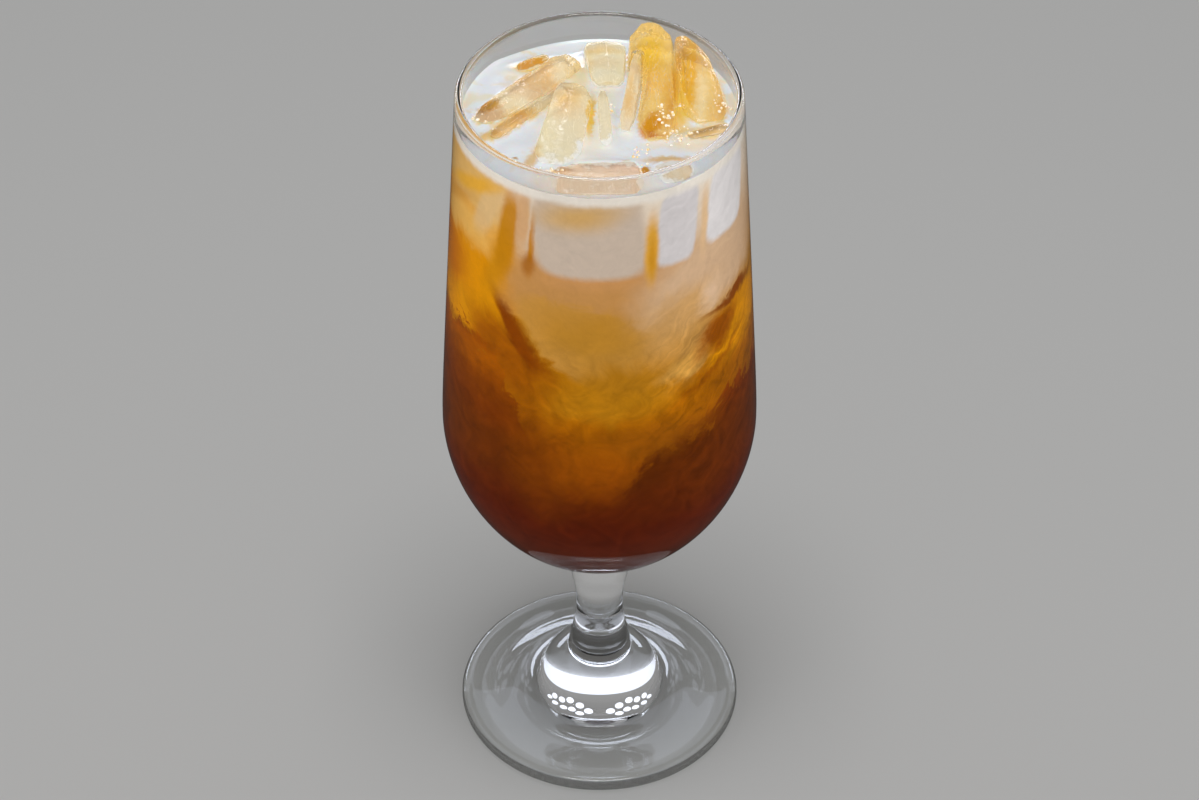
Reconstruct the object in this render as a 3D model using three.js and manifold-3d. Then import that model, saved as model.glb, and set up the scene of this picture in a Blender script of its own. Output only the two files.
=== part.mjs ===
// Thai iced tea in a footed glass: the glass, three layers of drink and twelve pieces of ice.
// Millimetres, +Z up, origin at the centre of the underside of the foot.
// The side with the pale ice front is -Y, and +X is to its right.

import * as THREE from "three";
import { ConvexGeometry } from "three/addons/geometries/ConvexGeometry.js";
import { mergeVertices } from "three/addons/utils/BufferGeometryUtils.js";
import Module from "manifold-3d";

// Driving dimensions of the glass
const HEIGHT = 186;            // foot to rim
const RIM_RADIUS = 31.6;       // outside of the rim
const BELLY_RADIUS = 36.8;     // widest point of the bowl, outside
const BELLY_HEIGHT = 94.6;     // height of that widest point
const BOWL_DEPTH = 41;         // from the widest point down to the bowl's tip
const BOWL_FULLNESS = 1.85;    // exponent of the lower bowl's curve, 2 is an ellipse
const TAPER_BLEND = 0.06;      // how softly the upper bowl's straight taper leaves the belly
const RIM_WALL = 1.7;          // glass thickness at the rim
const BELLY_WALL = 2.2;        // glass thickness at the widest point
const BOTTOM_WALL = 2.8;       // glass thickness over the stem
const FOOT_RADIUS = 34.55;
const FOOT_EDGE = 1.75;        // half the thickness of the rounded edge of the foot
const FOOT_RECESS = 0.8;       // the underside is hollowed by this much inside its rest ring
const REST_RING_INNER = 27;
const REST_RING_SLOPE = 5;     // width of the slope from the hollow down to the rest ring
const EDGE_END = 1.45;         // angle at which the rounded edge meets the top of the foot
const FOOT_TOP = 4.1;          // height of the foot where the knob's fillet begins
const KNOB_RADIUS = 15.4;      // the domed knob on the foot
const KNOB_BASE = 4.8;
const KNOB_RISE = 13.4;
const KNOB_FULLNESS = 2.4;     // exponent of the dome's curve, 2 is an ellipse
const KNOB_START = 0.14;       // angle at which the dome leaves its fillet
const KNOB_CROWN = 8.4;        // radius at which the dome meets the collar
const FILLET_REACH = 6;        // how far the fillet runs out over the foot
const FILLET_PULL = 0.6;       // how far from the dome the fillet turns up
const COLLAR_RADIUS = 7.7;     // crease where the stem leaves the knob
const COLLAR_HEIGHT = 18.2;
const COLLAR_THICKNESS = 1.6;
const WAIST_RADIUS = 5.75;     // thinnest part of the stem
const WAIST_HEIGHT = 33;
const NECK_RADIUS = 8;         // where the stem spreads into the bowl
const NECK_HEIGHT = 49.5;
const BOWL_START = 14.4;       // radius at which the bowl's own curve begins

// Driving dimensions of the drink
const DRINK_LEVEL = 179.8;     // 6.2 below the rim
const GAP = 0.3;               // clearance kept between touching pieces
const CREAM_UNDERSIDE = 163;   // mean height of the border between cream and milky tea
const CREAM_LEAN = 3.2;        // how much lower the cream hangs at the front right
const CREAM_TONGUES = 2.4;
const CREAM_WAVES = 1.5;
const MILK_UNDERSIDE = 121;    // mean height of the border between milky tea and clear tea
const MILK_SAG = 11;           // how much deeper the milk has sunk at the front
const MILK_TILT = 3.5;
const MILK_CURLS = 1.8;

// Driving dimensions of the ice
const ICE_END_DROP = 1.6;      // how far the worn ends lie under the ridge, at no width
const ICE_SIDE_BREAK = 0.14;   // unevenness of the sides, as a share of the width
const ICE_FACE_BREAK = 0.1;    // unevenness of the faces, as a share of the depth
const ROOM_OVER_RIM = 3;       // ice is kept clear of the wall up to this far over the rim

const SIDES = 56;              // facets round everything that is turned
const AXIS = 0;                // radius of a point on the glass's axis
const wasm = await Module();
wasm.setup();

// Profiles, as lists of (radius, height) points

function sweep(count, from, to, place) {
  const points = [];
  for (let i = 0; i <= count; i += 1) {
    points.push(place(from + ((to - from) * i) / count));
  }
  return points;
}

function lowerBowl(radius, depth, count, stopAngle) {
  return sweep(count, stopAngle, 0, (t) => new THREE.Vector2(
    radius * Math.cos(t),
    BELLY_HEIGHT - depth * Math.sin(t) ** (2 / BOWL_FULLNESS),
  ));
}

// Share of the draw-in at a share of the upper bowl's height: level at first, then straight
function taper(u) {
  return (Math.hypot(u, TAPER_BLEND) - TAPER_BLEND) / (Math.hypot(1, TAPER_BLEND) - TAPER_BLEND);
}

function upperBowl(bellyRadius, rimRadius, top, count) {
  const shareOfHeight = (top - BELLY_HEIGHT) / (HEIGHT - BELLY_HEIGHT);
  return sweep(count, 0, shareOfHeight, (u) => new THREE.Vector2(
    bellyRadius - (bellyRadius - rimRadius) * taper(u),
    BELLY_HEIGHT + (HEIGHT - BELLY_HEIGHT) * u,
  ));
}

// The inside wall, from the tip of the hollow up to the given height
function innerWall(inset, top) {
  const bellyRadius = BELLY_RADIUS - BELLY_WALL - inset;
  const rimRadius = RIM_RADIUS - RIM_WALL - inset;
  const depth = BOWL_DEPTH - BOTTOM_WALL - inset;
  const lower = lowerBowl(bellyRadius, depth, 9, Math.PI / 2);
  const upper = upperBowl(bellyRadius, rimRadius, top, 5).slice(1);
  lower[0].x = AXIS;
  return [...lower, ...upper];
}

function footProfile() {
  const edge = sweep(6, -Math.PI / 2, EDGE_END, (t) => new THREE.Vector2(
    FOOT_RADIUS - FOOT_EDGE + FOOT_EDGE * Math.cos(t),
    FOOT_EDGE + FOOT_EDGE * Math.sin(t),
  ));
  return [
    new THREE.Vector2(AXIS, FOOT_RECESS),
    new THREE.Vector2(REST_RING_INNER - REST_RING_SLOPE, FOOT_RECESS),
    new THREE.Vector2(REST_RING_INNER, 0),
    ...edge,
  ];
}

function knobProfile() {
  const domePoint = (t) => new THREE.Vector2(
    KNOB_RADIUS * Math.cos(t) ** (2 / KNOB_FULLNESS),
    KNOB_BASE + KNOB_RISE * Math.sin(t) ** (2 / KNOB_FULLNESS),
  );
  const crown = Math.acos((KNOB_CROWN / KNOB_RADIUS) ** (KNOB_FULLNESS / 2));
  const fillet = new THREE.QuadraticBezierCurve(
    new THREE.Vector2(KNOB_RADIUS + FILLET_REACH, FOOT_TOP),
    new THREE.Vector2(KNOB_RADIUS + FILLET_PULL, (FOOT_TOP + KNOB_BASE) / 2),
    domePoint(KNOB_START),
  );
  return [...fillet.getPoints(3), ...sweep(4, KNOB_START, crown, domePoint).slice(1)];
}

// From the crease over the knob, in to the waist and out again to the bowl
function stemProfile() {
  const between = (low, high, share) => THREE.MathUtils.lerp(low, high, share);
  const stem = new THREE.SplineCurve([
    new THREE.Vector2(COLLAR_RADIUS, COLLAR_HEIGHT),
    new THREE.Vector2(
      between(COLLAR_RADIUS, WAIST_RADIUS, 0.58),
      between(COLLAR_HEIGHT, WAIST_HEIGHT, 0.4),
    ),
    new THREE.Vector2(WAIST_RADIUS, WAIST_HEIGHT),
    new THREE.Vector2(
      between(WAIST_RADIUS, NECK_RADIUS, 0.4),
      between(WAIST_HEIGHT, NECK_HEIGHT, 0.47),
    ),
    new THREE.Vector2(NECK_RADIUS, NECK_HEIGHT),
    new THREE.Vector2(
      between(NECK_RADIUS, BOWL_START, 0.41),
      between(NECK_HEIGHT, BELLY_HEIGHT - BOWL_DEPTH, 0.98),
    ),
  ]);
  const crease = new THREE.Vector2(COLLAR_RADIUS, COLLAR_HEIGHT - COLLAR_THICKNESS);
  return [crease, ...stem.getPoints(8)];
}

function rimProfile() {
  const middle = RIM_RADIUS - RIM_WALL / 2;
  return sweep(4, 0, Math.PI, (t) => new THREE.Vector2(
    middle + (RIM_WALL / 2) * Math.cos(t),
    HEIGHT - RIM_WALL / 2 + (RIM_WALL / 2) * Math.sin(t),
  ));
}

function glassProfile() {
  const bowlStart = Math.acos(BOWL_START / BELLY_RADIUS);
  return [
    ...footProfile(),
    ...knobProfile(),
    ...stemProfile(),
    ...lowerBowl(BELLY_RADIUS, BOWL_DEPTH, 8, bowlStart),
    ...upperBowl(BELLY_RADIUS, RIM_RADIUS, HEIGHT - RIM_WALL / 2, 5).slice(1),
    ...rimProfile().slice(1),
    ...innerWall(0, HEIGHT - RIM_WALL / 2).reverse().slice(1),
  ];
}

// Solids

function lathe(profile) {
  return new THREE.LatheGeometry(profile, SIDES).rotateX(Math.PI / 2);
}

// Position-only triangles with shared corners, without those that have shrunk to a line
function weld(geometry) {
  const bare = geometry.clone();
  bare.deleteAttribute("normal");
  bare.deleteAttribute("uv");
  const merged = mergeVertices(bare, 1e-4);
  const corners = merged.index.array;
  const kept = [];
  for (let i = 0; i < corners.length; i += 3) {
    const [a, b, c] = corners.slice(i, i + 3);
    if (a !== b && b !== c && c !== a) {
      kept.push(a, b, c);
    }
  }
  merged.setIndex(kept);
  return merged;
}

function solid(geometry) {
  const welded = weld(geometry);
  return new wasm.Manifold(new wasm.Mesh({
    numProp: 3,
    vertProperties: new Float32Array(welded.attributes.position.array),
    triVerts: new Uint32Array(welded.index.array),
  }));
}

// The largest piece of a solid, so that a cut leaves no loose scrap
function largest(manifold) {
  const pieces = manifold.decompose();
  return pieces.reduce((best, piece) => (piece.volume() > best.volume() ? piece : best));
}

function surface(manifold) {
  const mesh = manifold.getMesh();
  const geometry = new THREE.BufferGeometry();
  geometry.setAttribute("position", new THREE.BufferAttribute(mesh.vertProperties, 3));
  geometry.setIndex(new THREE.BufferAttribute(mesh.triVerts, 1));
  return geometry;
}

// Everything inside the bowl up to the given height, clear of the wall
function bowlFilling(inset, top) {
  const wall = innerWall(inset, top);
  return solid(lathe([...wall, new THREE.Vector2(AXIS, top)]));
}

// The space under a wavy border, as a drum whose upper face follows a height function.
// The function takes the angle from the front, positive to the right, and the share of the radius.
function spaceUnder(heightAt, lift) {
  const reach = BELLY_RADIUS + BELLY_WALL;
  const lid = BOWL_DEPTH;
  const drum = lathe([
    new THREE.Vector2(AXIS, 0),
    new THREE.Vector2(reach, 0),
    ...sweep(3, 1, 0, (share) => new THREE.Vector2(reach * share, lid)),
  ]);
  const place = drum.attributes.position;
  for (let i = 0; i < place.count; i += 1) {
    if (place.getZ(i) > lid / 2) {
      const x = place.getX(i);
      const y = place.getY(i);
      const angle = Math.atan2(x, -y);
      place.setZ(i, heightAt(angle, Math.hypot(x, y) / reach) + lift);
    }
  }
  return solid(drum);
}

// The cream hangs lowest at the front and right, in rounded tongues
function creamBorder(angle, share) {
  const tongues = CREAM_TONGUES * Math.cos(5 * angle - 0.6);
  const waves = CREAM_WAVES * Math.cos(3 * angle + 1.9);
  return CREAM_UNDERSIDE + share * (tongues + waves - CREAM_LEAN * Math.cos(angle - 0.7));
}

// The milky tea sinks deepest just right of the front, and stays high on the left
function milkBorder(angle, share) {
  const tilt = MILK_TILT * Math.cos(2 * angle - 2.6);
  const curls = MILK_CURLS * Math.cos(5 * angle + 0.4);
  return MILK_UNDERSIDE + share * (tilt + curls - MILK_SAG * Math.cos(angle - 0.12));
}

// Repeatable draws between -1 and 1 for the uneven breaks of the ice
function unevenness(seed) {
  let state = seed * 7919 + 17;
  return () => {
    state = (state * 1103515245 + 12345) % 2147483648;
    return (state / 1073741824) - 1;
  };
}

// One piece of ice: a broken bar whose top ridge runs from one end to the other.
// Width and depth are given at both ends, tips are the shares of the width that the worn ends
// keep, and grow adds clearance all round.
function iceBar({ from, to, width, depth, tips = [0.66, 0.62], roll, seed }, grow = 0) {
  const start = new THREE.Vector3(...from);
  const end = new THREE.Vector3(...to);
  const along = end.clone().sub(start).normalize();
  const across = new THREE.Vector3(0, 0, 1).cross(along).normalize();
  across.applyAxisAngle(along, THREE.MathUtils.degToRad(roll));
  const up = along.clone().cross(across);
  const span = start.distanceTo(end);
  const draw = unevenness(seed);
  const section = [[-0.36, -0.03], [0.06, 0], [0.38, -0.05], [0.5, -0.42], [0.3, -0.94], [-0.3, -1],
    [-0.5, -0.5]];
  const stations = [[0, tips[0]], [0.13, 1], [0.55, 1.04], [0.86, 1], [1, tips[1]]];
  const points = [];
  for (const [share, scale] of stations) {
    const w = THREE.MathUtils.lerp(width[0], width[1], share) * scale + 2 * grow;
    const d = THREE.MathUtils.lerp(depth[0], depth[1], share) * scale + 2 * grow;
    const middle = start.clone().addScaledVector(along, share * (span + 2 * grow) - grow);
    middle.addScaledVector(up, grow - (1 - scale) * ICE_END_DROP);
    for (const [side, drop] of section) {
      const point = middle.clone();
      point.addScaledVector(across, w * side * (1 + ICE_SIDE_BREAK * draw()));
      point.addScaledVector(up, d * drop * (1 + ICE_FACE_BREAK * draw()));
      points.push(point);
    }
  }
  return solid(new ConvexGeometry(points));
}

const ICE = {
  // Narrow ridge between the middle and the tall shard
  ice_ridge: { from: [8.4, 17.4, 185], to: [5.4, -6.8, 181.8], width: [3.6, 4.4], depth: [15, 12],
    roll: 5, seed: 4 },
  // Tallest shard, leaning on the back wall with its peak at the height of the rim
  ice_tall: { from: [11, 26.6, 187.2], to: [12.6, -9.6, 181.6], width: [12.6, 9.8],
    depth: [20, 15], tips: [0.4, 0.62], roll: 5, seed: 3 },
  // Slab beside it, and the low piece along the foot of both
  ice_right: { from: [19.2, 22.6, 186.2], to: [24.4, -3.2, 181.4], width: [10, 11.5],
    depth: [19, 14], tips: [0.6, 0.7], roll: -8, seed: 8 },
  ice_right_low: { from: [18.6, -8.6, 180.9], to: [28.6, -4.4, 180.9], width: [4.4, 5],
    depth: [9, 8], tips: [0.5, 0.8], roll: 0, seed: 12 },
  // Long bar on the left, and the one that lies along its front
  ice_left: { from: [-5.8, 19.4, 182.6], to: [-26.6, -3.6, 181], width: [9.4, 7.8],
    depth: [14, 12], roll: -6, seed: 5 },
  ice_left_low: { from: [-8.8, 8.2, 181.4], to: [-24.6, -9, 180.8], width: [4.4, 5.4],
    depth: [12, 10], roll: 8, seed: 11 },
  // Thin sliver that shows behind the long bar
  ice_sliver: { from: [-11.4, 21.8, 181.2], to: [-18.4, 17.2, 180.9], width: [3, 3.2],
    depth: [7, 5], roll: 0, seed: 2 },
  // Broad face left of the middle, and the narrow piece to its right
  ice_broad: { from: [-5.8, 9, 183], to: [-9.4, -18.6, 181.2], width: [11, 14],
    depth: [18, 16], roll: -3, seed: 13 },
  ice_middle: { from: [0.5, 7.6, 182], to: [1.4, -11.8, 181], width: [3.2, 4.2],
    depth: [12, 10], roll: 6, seed: 15 },
  // Pale block at the back
  ice_back: { from: [0.9, 24.4, 183.2], to: [1.6, 9.8, 182.4], width: [12, 8.8], depth: [16, 14],
    tips: [0.8, 0.7], roll: 2, seed: 7 },
  // Flat dome against the front wall, and a lower piece beside it on the right
  ice_front: { from: [-11.2, -22.8, 181.2], to: [10.6, -23.2, 181.2], width: [15, 15],
    depth: [19, 18], tips: [0.3, 0.3], roll: 0, seed: 9 },
  ice_front_right: { from: [11.4, -21.8, 181], to: [20.4, -19.6, 181], width: [9.6, 9],
    depth: [18, 17], tips: [0.5, 0.5], roll: 0, seed: 6 },
};

// Each piece is kept inside the bowl and clear of the pieces made before it
function breakIce() {
  const room = bowlFilling(GAP, HEIGHT + ROOM_OVER_RIM);
  const pieces = {};
  const taken = [];
  for (const [name, shape] of Object.entries(ICE)) {
    let piece = iceBar(shape).intersect(room);
    for (const neighbour of taken) {
      piece = piece.subtract(neighbour);
    }
    pieces[name] = largest(piece);
    taken.push(iceBar(shape, GAP));
  }
  return { pieces, taken };
}

function pourDrink(ice) {
  const filling = bowlFilling(GAP, DRINK_LEVEL);
  const half = GAP / 2;
  const tea = filling.intersect(spaceUnder(milkBorder, -half));
  const milk = filling.subtract(spaceUnder(milkBorder, half))
    .intersect(spaceUnder(creamBorder, -half));
  const cream = filling.subtract(spaceUnder(creamBorder, half));
  const clearOfIce = (layer) => largest(ice.reduce((left, piece) => left.subtract(piece), layer));
  return { tea: clearOfIce(tea), milky_tea: clearOfIce(milk), cream: clearOfIce(cream) };
}

// Finishes
const glassFinish = { color: "#dfe6e8", roughness: 0.04, metalness: 0, transparent: true,
  opacity: 0.35 };
const iceFinish = { color: "#f3dfae", roughness: 0.12, metalness: 0, transparent: true,
  opacity: 0.7 };
const DRINK_FINISH = {
  tea: { color: "#571f05", roughness: 0.25, metalness: 0 },
  milky_tea: { color: "#bd8332", roughness: 0.3, metalness: 0 },
  cream: { color: "#ebdcc6", roughness: 0.35, metalness: 0 },
};

const drink = new THREE.Group();
function place(name, geometry, finish) {
  const mesh = new THREE.Mesh(geometry, new THREE.MeshStandardMaterial(finish));
  mesh.name = name;
  drink.add(mesh);
}

place("glass", weld(lathe(glassProfile())), glassFinish);
const ice = breakIce();
for (const [name, layer] of Object.entries(pourDrink(ice.taken))) {
  place(name, surface(layer), DRINK_FINISH[name]);
}
for (const [name, piece] of Object.entries(ice.pieces)) {
  place(name, surface(piece), iceFinish);
}

export default drink;
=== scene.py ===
# %% [markdown]
# # Thai iced tea in a footed glass
# The tall glass stands on a disc foot, with a domed knob and a short stem under the bowl. It holds
# dark tea, milk that sinks into it in clouds, a pale top and twelve pieces of broken ice. The packed
# model comes in first, because the glass, the drink and the ice made here take the place of its
# solids. All sizes below are millimetres, and one factor turns them to metres.

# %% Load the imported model
import math

import bmesh
import bpy
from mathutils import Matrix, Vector, noise
from mathutils.bvhtree import BVHTree


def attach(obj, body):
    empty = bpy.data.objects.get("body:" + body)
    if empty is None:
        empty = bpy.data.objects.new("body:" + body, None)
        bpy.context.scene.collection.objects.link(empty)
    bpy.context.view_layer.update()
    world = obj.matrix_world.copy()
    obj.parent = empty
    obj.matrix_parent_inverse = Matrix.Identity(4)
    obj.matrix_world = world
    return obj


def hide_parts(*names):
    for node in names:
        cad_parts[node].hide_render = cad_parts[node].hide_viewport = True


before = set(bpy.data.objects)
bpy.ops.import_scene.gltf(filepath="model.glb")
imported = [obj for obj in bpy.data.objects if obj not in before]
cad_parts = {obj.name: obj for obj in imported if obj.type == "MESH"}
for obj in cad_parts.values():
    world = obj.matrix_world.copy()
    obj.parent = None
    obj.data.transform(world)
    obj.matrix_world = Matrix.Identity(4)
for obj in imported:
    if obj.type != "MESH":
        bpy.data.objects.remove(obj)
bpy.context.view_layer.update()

MM = 0.001
ICE = sorted(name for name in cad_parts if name.startswith("ice_"))
print("solids:", sorted(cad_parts))
print("ice:", len(ICE))


# %% [markdown]
# ## Helpers
# Colours are written as sRGB hex, as a colour picker gives them, and Cycles works on linear light.
# One function does that change. Another adds a node, sets it up and links its sockets, so that a
# material reads as a short list of steps. Sockets are given by name or in their own order, and a node
# given as a value is linked by its first output. Patterns are sized in millimetres, and one function
# gives the place of a point on its piece in them.

# %% Colours and nodes
SMOOTH = {"interpolation_type": "SMOOTHSTEP"}       # a map range with soft ends


def linear(hex_colour):
    """sRGB hex to a linear RGBA colour."""
    parts = [int(hex_colour[i:i + 2], 16) / 255 for i in (1, 3, 5)]
    return [p / 12.92 if p <= 0.04045 else ((p + 0.055) / 1.055) ** 2.4 for p in parts] + [1.0]


def add(tree, kind, feeds=(), **settings):
    """Adds a node, sets its properties and fills or links its sockets."""
    made = tree.nodes.new(kind)
    for key, value in settings.items():
        setattr(made, key, value)
    pairs = feeds.items() if isinstance(feeds, dict) else enumerate(feeds)
    for socket, value in pairs:
        if isinstance(value, bpy.types.Node):
            value = value.outputs[0]
        if isinstance(value, bpy.types.NodeSocket):
            tree.links.new(value, made.inputs[socket])
        else:
            made.inputs[socket].default_value = value
    return made


def blank_material(name):
    """A named material without nodes, and its tree."""
    material = bpy.data.materials.new(name)
    material.use_nodes = True
    material.node_tree.nodes.clear()
    return material, material.node_tree


def place_on_piece(tree):
    """Where a point lies on its piece, in millimetres."""
    where = add(tree, "ShaderNodeTexCoord").outputs["Object"]
    return add(tree, "ShaderNodeVectorMath", {0: where, "Scale": 1 / MM}, operation="SCALE")


def as_object(name, data):
    """A new object for a mesh, a lamp or a camera, put into the scene."""
    made = bpy.data.objects.new(name, data)
    bpy.context.scene.collection.objects.link(made)
    return made


print("cream white in linear light:", [round(v, 3) for v in linear("#f1e9dd")])


# %% [markdown]
# ## The glass profile
# The glass is turned, so one profile line gives the whole of it. It is made again here from the same
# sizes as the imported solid, with many more points, so that highlights run smoothly. A subdivision
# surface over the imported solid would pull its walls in, and a profile keeps the sizes exact.

# %% Sizes of the glass
HEIGHT = 186
RIM_RADIUS = 31.6
BELLY_RADIUS = 36.8
BELLY_HEIGHT = 94.6
BOWL_DEPTH = 41                 # from the belly down to the lowest point of the bowl
BOWL_FULLNESS = 1.85            # 2 would give an ellipse
TAPER_BLEND = 0.06              # how softly the draw-in to the rim begins
RIM_WALL = 1.7
BELLY_WALL = 2.2
BOTTOM_WALL = 2.8
FOOT_RADIUS = 34.55
FOOT_EDGE = 1.75                # radius of the foot's round edge
KNOB_RADIUS = 15.4
KNOB_BASE = 4.8
KNOB_RISE = 13.4
KNOB_FULLNESS = 2.4
KNOB_START = 0.14               # angle in radians at which the dome leaves its fillet
KNOB_CROWN = 8.4                # radius at which the dome ends under the collar
FILLET = ((21.4, 4.1), (16.0, 4.45))    # where the rise to the knob starts, and what pulls it
STEM_END = 14.4                 # radius at which the stem has run into the bowl
SIDES = 192                     # faces in one turn
print("glass:", 2 * BELLY_RADIUS, "mm wide and", HEIGHT, "mm tall")


# %% The two faces of the bowl
def taper(share):
    """Share of the upper bowl's draw-in at a share of its height."""
    whole = math.hypot(1, TAPER_BLEND) - TAPER_BLEND
    return (math.hypot(share, TAPER_BLEND) - TAPER_BLEND) / whole


def wall_radius(z, inside, inset=0):
    """Radius of the bowl's inner or outer face at a height."""
    belly = BELLY_RADIUS - (BELLY_WALL if inside else 0) - inset
    rim = RIM_RADIUS - (RIM_WALL if inside else 0) - inset
    depth = BOWL_DEPTH - (BOTTOM_WALL if inside else 0) - inset
    if z >= BELLY_HEIGHT:
        return belly - (belly - rim) * taper((z - BELLY_HEIGHT) / (HEIGHT - BELLY_HEIGHT))
    drop = min(1, (BELLY_HEIGHT - z) / depth)
    return belly * math.sqrt(max(0, 1 - drop ** BOWL_FULLNESS))


def wall_line(inside, inset, low_radius, top, count):
    """Points of a face of the bowl, from a low radius up to a height."""
    belly = BELLY_RADIUS - (BELLY_WALL if inside else 0) - inset
    depth = BOWL_DEPTH - (BOTTOM_WALL if inside else 0) - inset
    start = math.acos(low_radius / belly)
    points = []
    for i in range(count):
        t = start * (1 - i / count)
        z = BELLY_HEIGHT - depth * math.sin(t) ** (2 / BOWL_FULLNESS)
        points.append((belly * math.cos(t) if t < math.pi / 2 - 1e-6 else 0.0, z))
    for i in range(count + 1):
        z = BELLY_HEIGHT + (top - BELLY_HEIGHT) * i / count
        points.append((wall_radius(z, inside, inset), z))
    return points


print("bowl inside:", round(2 * wall_radius(HEIGHT, True), 1), "mm wide at the rim")


# %% Round stretches and free curves
def arc(centre_r, centre_z, radius, start, end, count):
    """Points on a circle in the profile, angles in degrees."""
    turns = [math.radians(start + (end - start) * i / count) for i in range(count + 1)]
    return [(centre_r + radius * math.cos(t), centre_z + radius * math.sin(t)) for t in turns]


def smooth_line(points, steps):
    """A curve through all the points, Catmull-Rom."""
    line = []
    last = len(points) - 1
    for i in range(last):
        before, start = Vector(points[max(i - 1, 0)]), Vector(points[i])
        end, after = Vector(points[i + 1]), Vector(points[min(i + 2, last)])
        for k in range(steps):
            t = k / steps
            line.append(tuple(0.5 * (2 * start + (end - before) * t
                                     + (2 * before - 5 * start + 4 * end - after) * t * t
                                     + (3 * start - before - 3 * end + after) * t ** 3)))
    return line + [points[-1]]


print("points in a round edge:", len(arc(0, 0, FOOT_EDGE, -90, 83, 14)))


# %% The whole profile of the glass
def knob_line():
    """The dome on the foot, from its fillet to its crown."""
    def dome(t):
        bulge = 2 / KNOB_FULLNESS
        return (KNOB_RADIUS * math.cos(t) ** bulge, KNOB_BASE + KNOB_RISE * math.sin(t) ** bulge)

    crown = math.acos((KNOB_CROWN / KNOB_RADIUS) ** (KNOB_FULLNESS / 2))
    start, pull, end = Vector(FILLET[0]), Vector(FILLET[1]), Vector(dome(KNOB_START))
    fillet = []
    for i in range(10):
        t = i / 10
        fillet.append(tuple(start * (1 - t) ** 2 + pull * 2 * t * (1 - t) + end * t * t))
    return fillet + [dome(KNOB_START + (crown - KNOB_START) * i / 22) for i in range(23)]


underside = [(0, 0.8), (12, 0.8), (21, 0.8), (23.5, 0.66), (25.6, 0.25), (27.2, 0.02), (29.5, 0)]
edge = arc(FOOT_RADIUS - FOOT_EDGE, FOOT_EDGE, FOOT_EDGE, -90, 83, 14)
foot_top = smooth_line([(33.0, 3.46), (31.5, 3.4), (29, 3.55), (26, 3.8), FILLET[0]], 5)
collar = smooth_line([(KNOB_CROWN, 16.79), (7.95, 17.0), (7.74, 17.35), (7.64, 17.8), (7.7, 18.2)],
                     4)
stem = smooth_line([(7.7, 18.2), (7.5, 19.8), (6.9, 22.9), (6.33, 25.6), (5.98, 28.9), (5.75, 33),
                    (5.9, 37), (6.2, 39.2), (6.72, 41.5), (8, 49.5), (10.6, 53.5),
                    (STEM_END, 57.0)], 5)
stem[-1] = wall_line(False, 0, STEM_END, HEIGHT, 40)[0]
lip = HEIGHT - RIM_WALL / 2
bowl_outside = wall_line(False, 0, STEM_END, lip, 40)[1:]
rim = arc(RIM_RADIUS - RIM_WALL / 2, lip, RIM_WALL / 2, 0, 180, 14)[1:]
bowl_inside = wall_line(True, 0, 0, lip, 44)[::-1][1:]
glass_profile = (underside + edge + foot_top[1:-1] + knob_line() + collar[1:] + stem[1:]
                 + bowl_outside + rim + bowl_inside)
print("points in the glass profile:", len(glass_profile))


# %% [markdown]
# A lathe turns a profile about the upright axis. Points on the axis are made once, so that both
# poles are closed with a fan and have no pinched faces.

# %% Turn a profile into a closed mesh
def turned(name, profile, sides=SIDES):
    """A closed object turned from (radius, height) points, faces out."""
    corners, rings = [], []
    for radius, z in profile:
        if radius < 1e-6:
            rings.append([len(corners)] * sides)
            corners.append((0, 0, z * MM))
            continue
        rings.append(list(range(len(corners), len(corners) + sides)))
        for k in range(sides):
            turn = 2 * math.pi * k / sides
            corners.append((radius * math.cos(turn) * MM, radius * math.sin(turn) * MM, z * MM))
    faces = []
    for low, high in zip(rings, rings[1:]):
        for k in range(sides):
            n = (k + 1) % sides
            face = [low[k], low[n], high[n], high[k]]
            faces.append([c for i, c in enumerate(face) if c != face[i - 1]])
    mesh = bpy.data.meshes.new(name)
    mesh.from_pydata(corners, [], faces)
    mesh.shade_smooth()
    return as_object(name, mesh)


glass = turned("footed_glass", glass_profile)
print("glass faces:", len(glass.data.polygons))


# %% [markdown]
# ## Broken ice
# The ice is clear and wet, with worn edges and dished faces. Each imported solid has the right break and
# place, but its corners are knife sharp. It is remeshed with small voxels, smoothed a little, and its
# faces are dented inwards by noise, so the piece keeps its form and never leaves its own solid.

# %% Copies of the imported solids
MERGE = 0.002       # corners closer than this are one corner


def solid_copy(name):
    """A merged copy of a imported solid, as a new object."""
    shell = bmesh.new()
    shell.from_mesh(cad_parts[name].data)
    bmesh.ops.remove_doubles(shell, verts=shell.verts, dist=MERGE * MM)
    mesh = bpy.data.meshes.new(name + "_copy")
    shell.to_mesh(mesh)
    shell.free()
    return as_object(name + "_copy", mesh)


def evaluated(source, name):
    """A plain mesh object of what the modifiers of source give, and source is removed."""
    graph = bpy.context.evaluated_depsgraph_get()
    mesh = bpy.data.meshes.new_from_object(source.evaluated_get(graph))
    mesh.name = name
    old = source.data
    bpy.data.objects.remove(source)
    bpy.data.meshes.remove(old)
    return as_object(name, mesh)


print("triangles in the packed ice:", sum(len(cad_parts[n].data.polygons) for n in ICE))


# %% Melt the edges of each piece
VOXEL = 0.33
WEAR_ROUNDS = 2
DISH_DEPTH = 0.34
DISH_SIZE = 7.0
PIT_DEPTH = 0.09
PIT_SIZE = 1.6
NOISE_STEP = (13.7, 5.1, 2.3)       # how far apart in the noise two pieces lie
FLAT_BEND, EDGE_BEND = 0.3, 0.9     # how fast the surface turns on a face and on an edge, per mm


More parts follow.
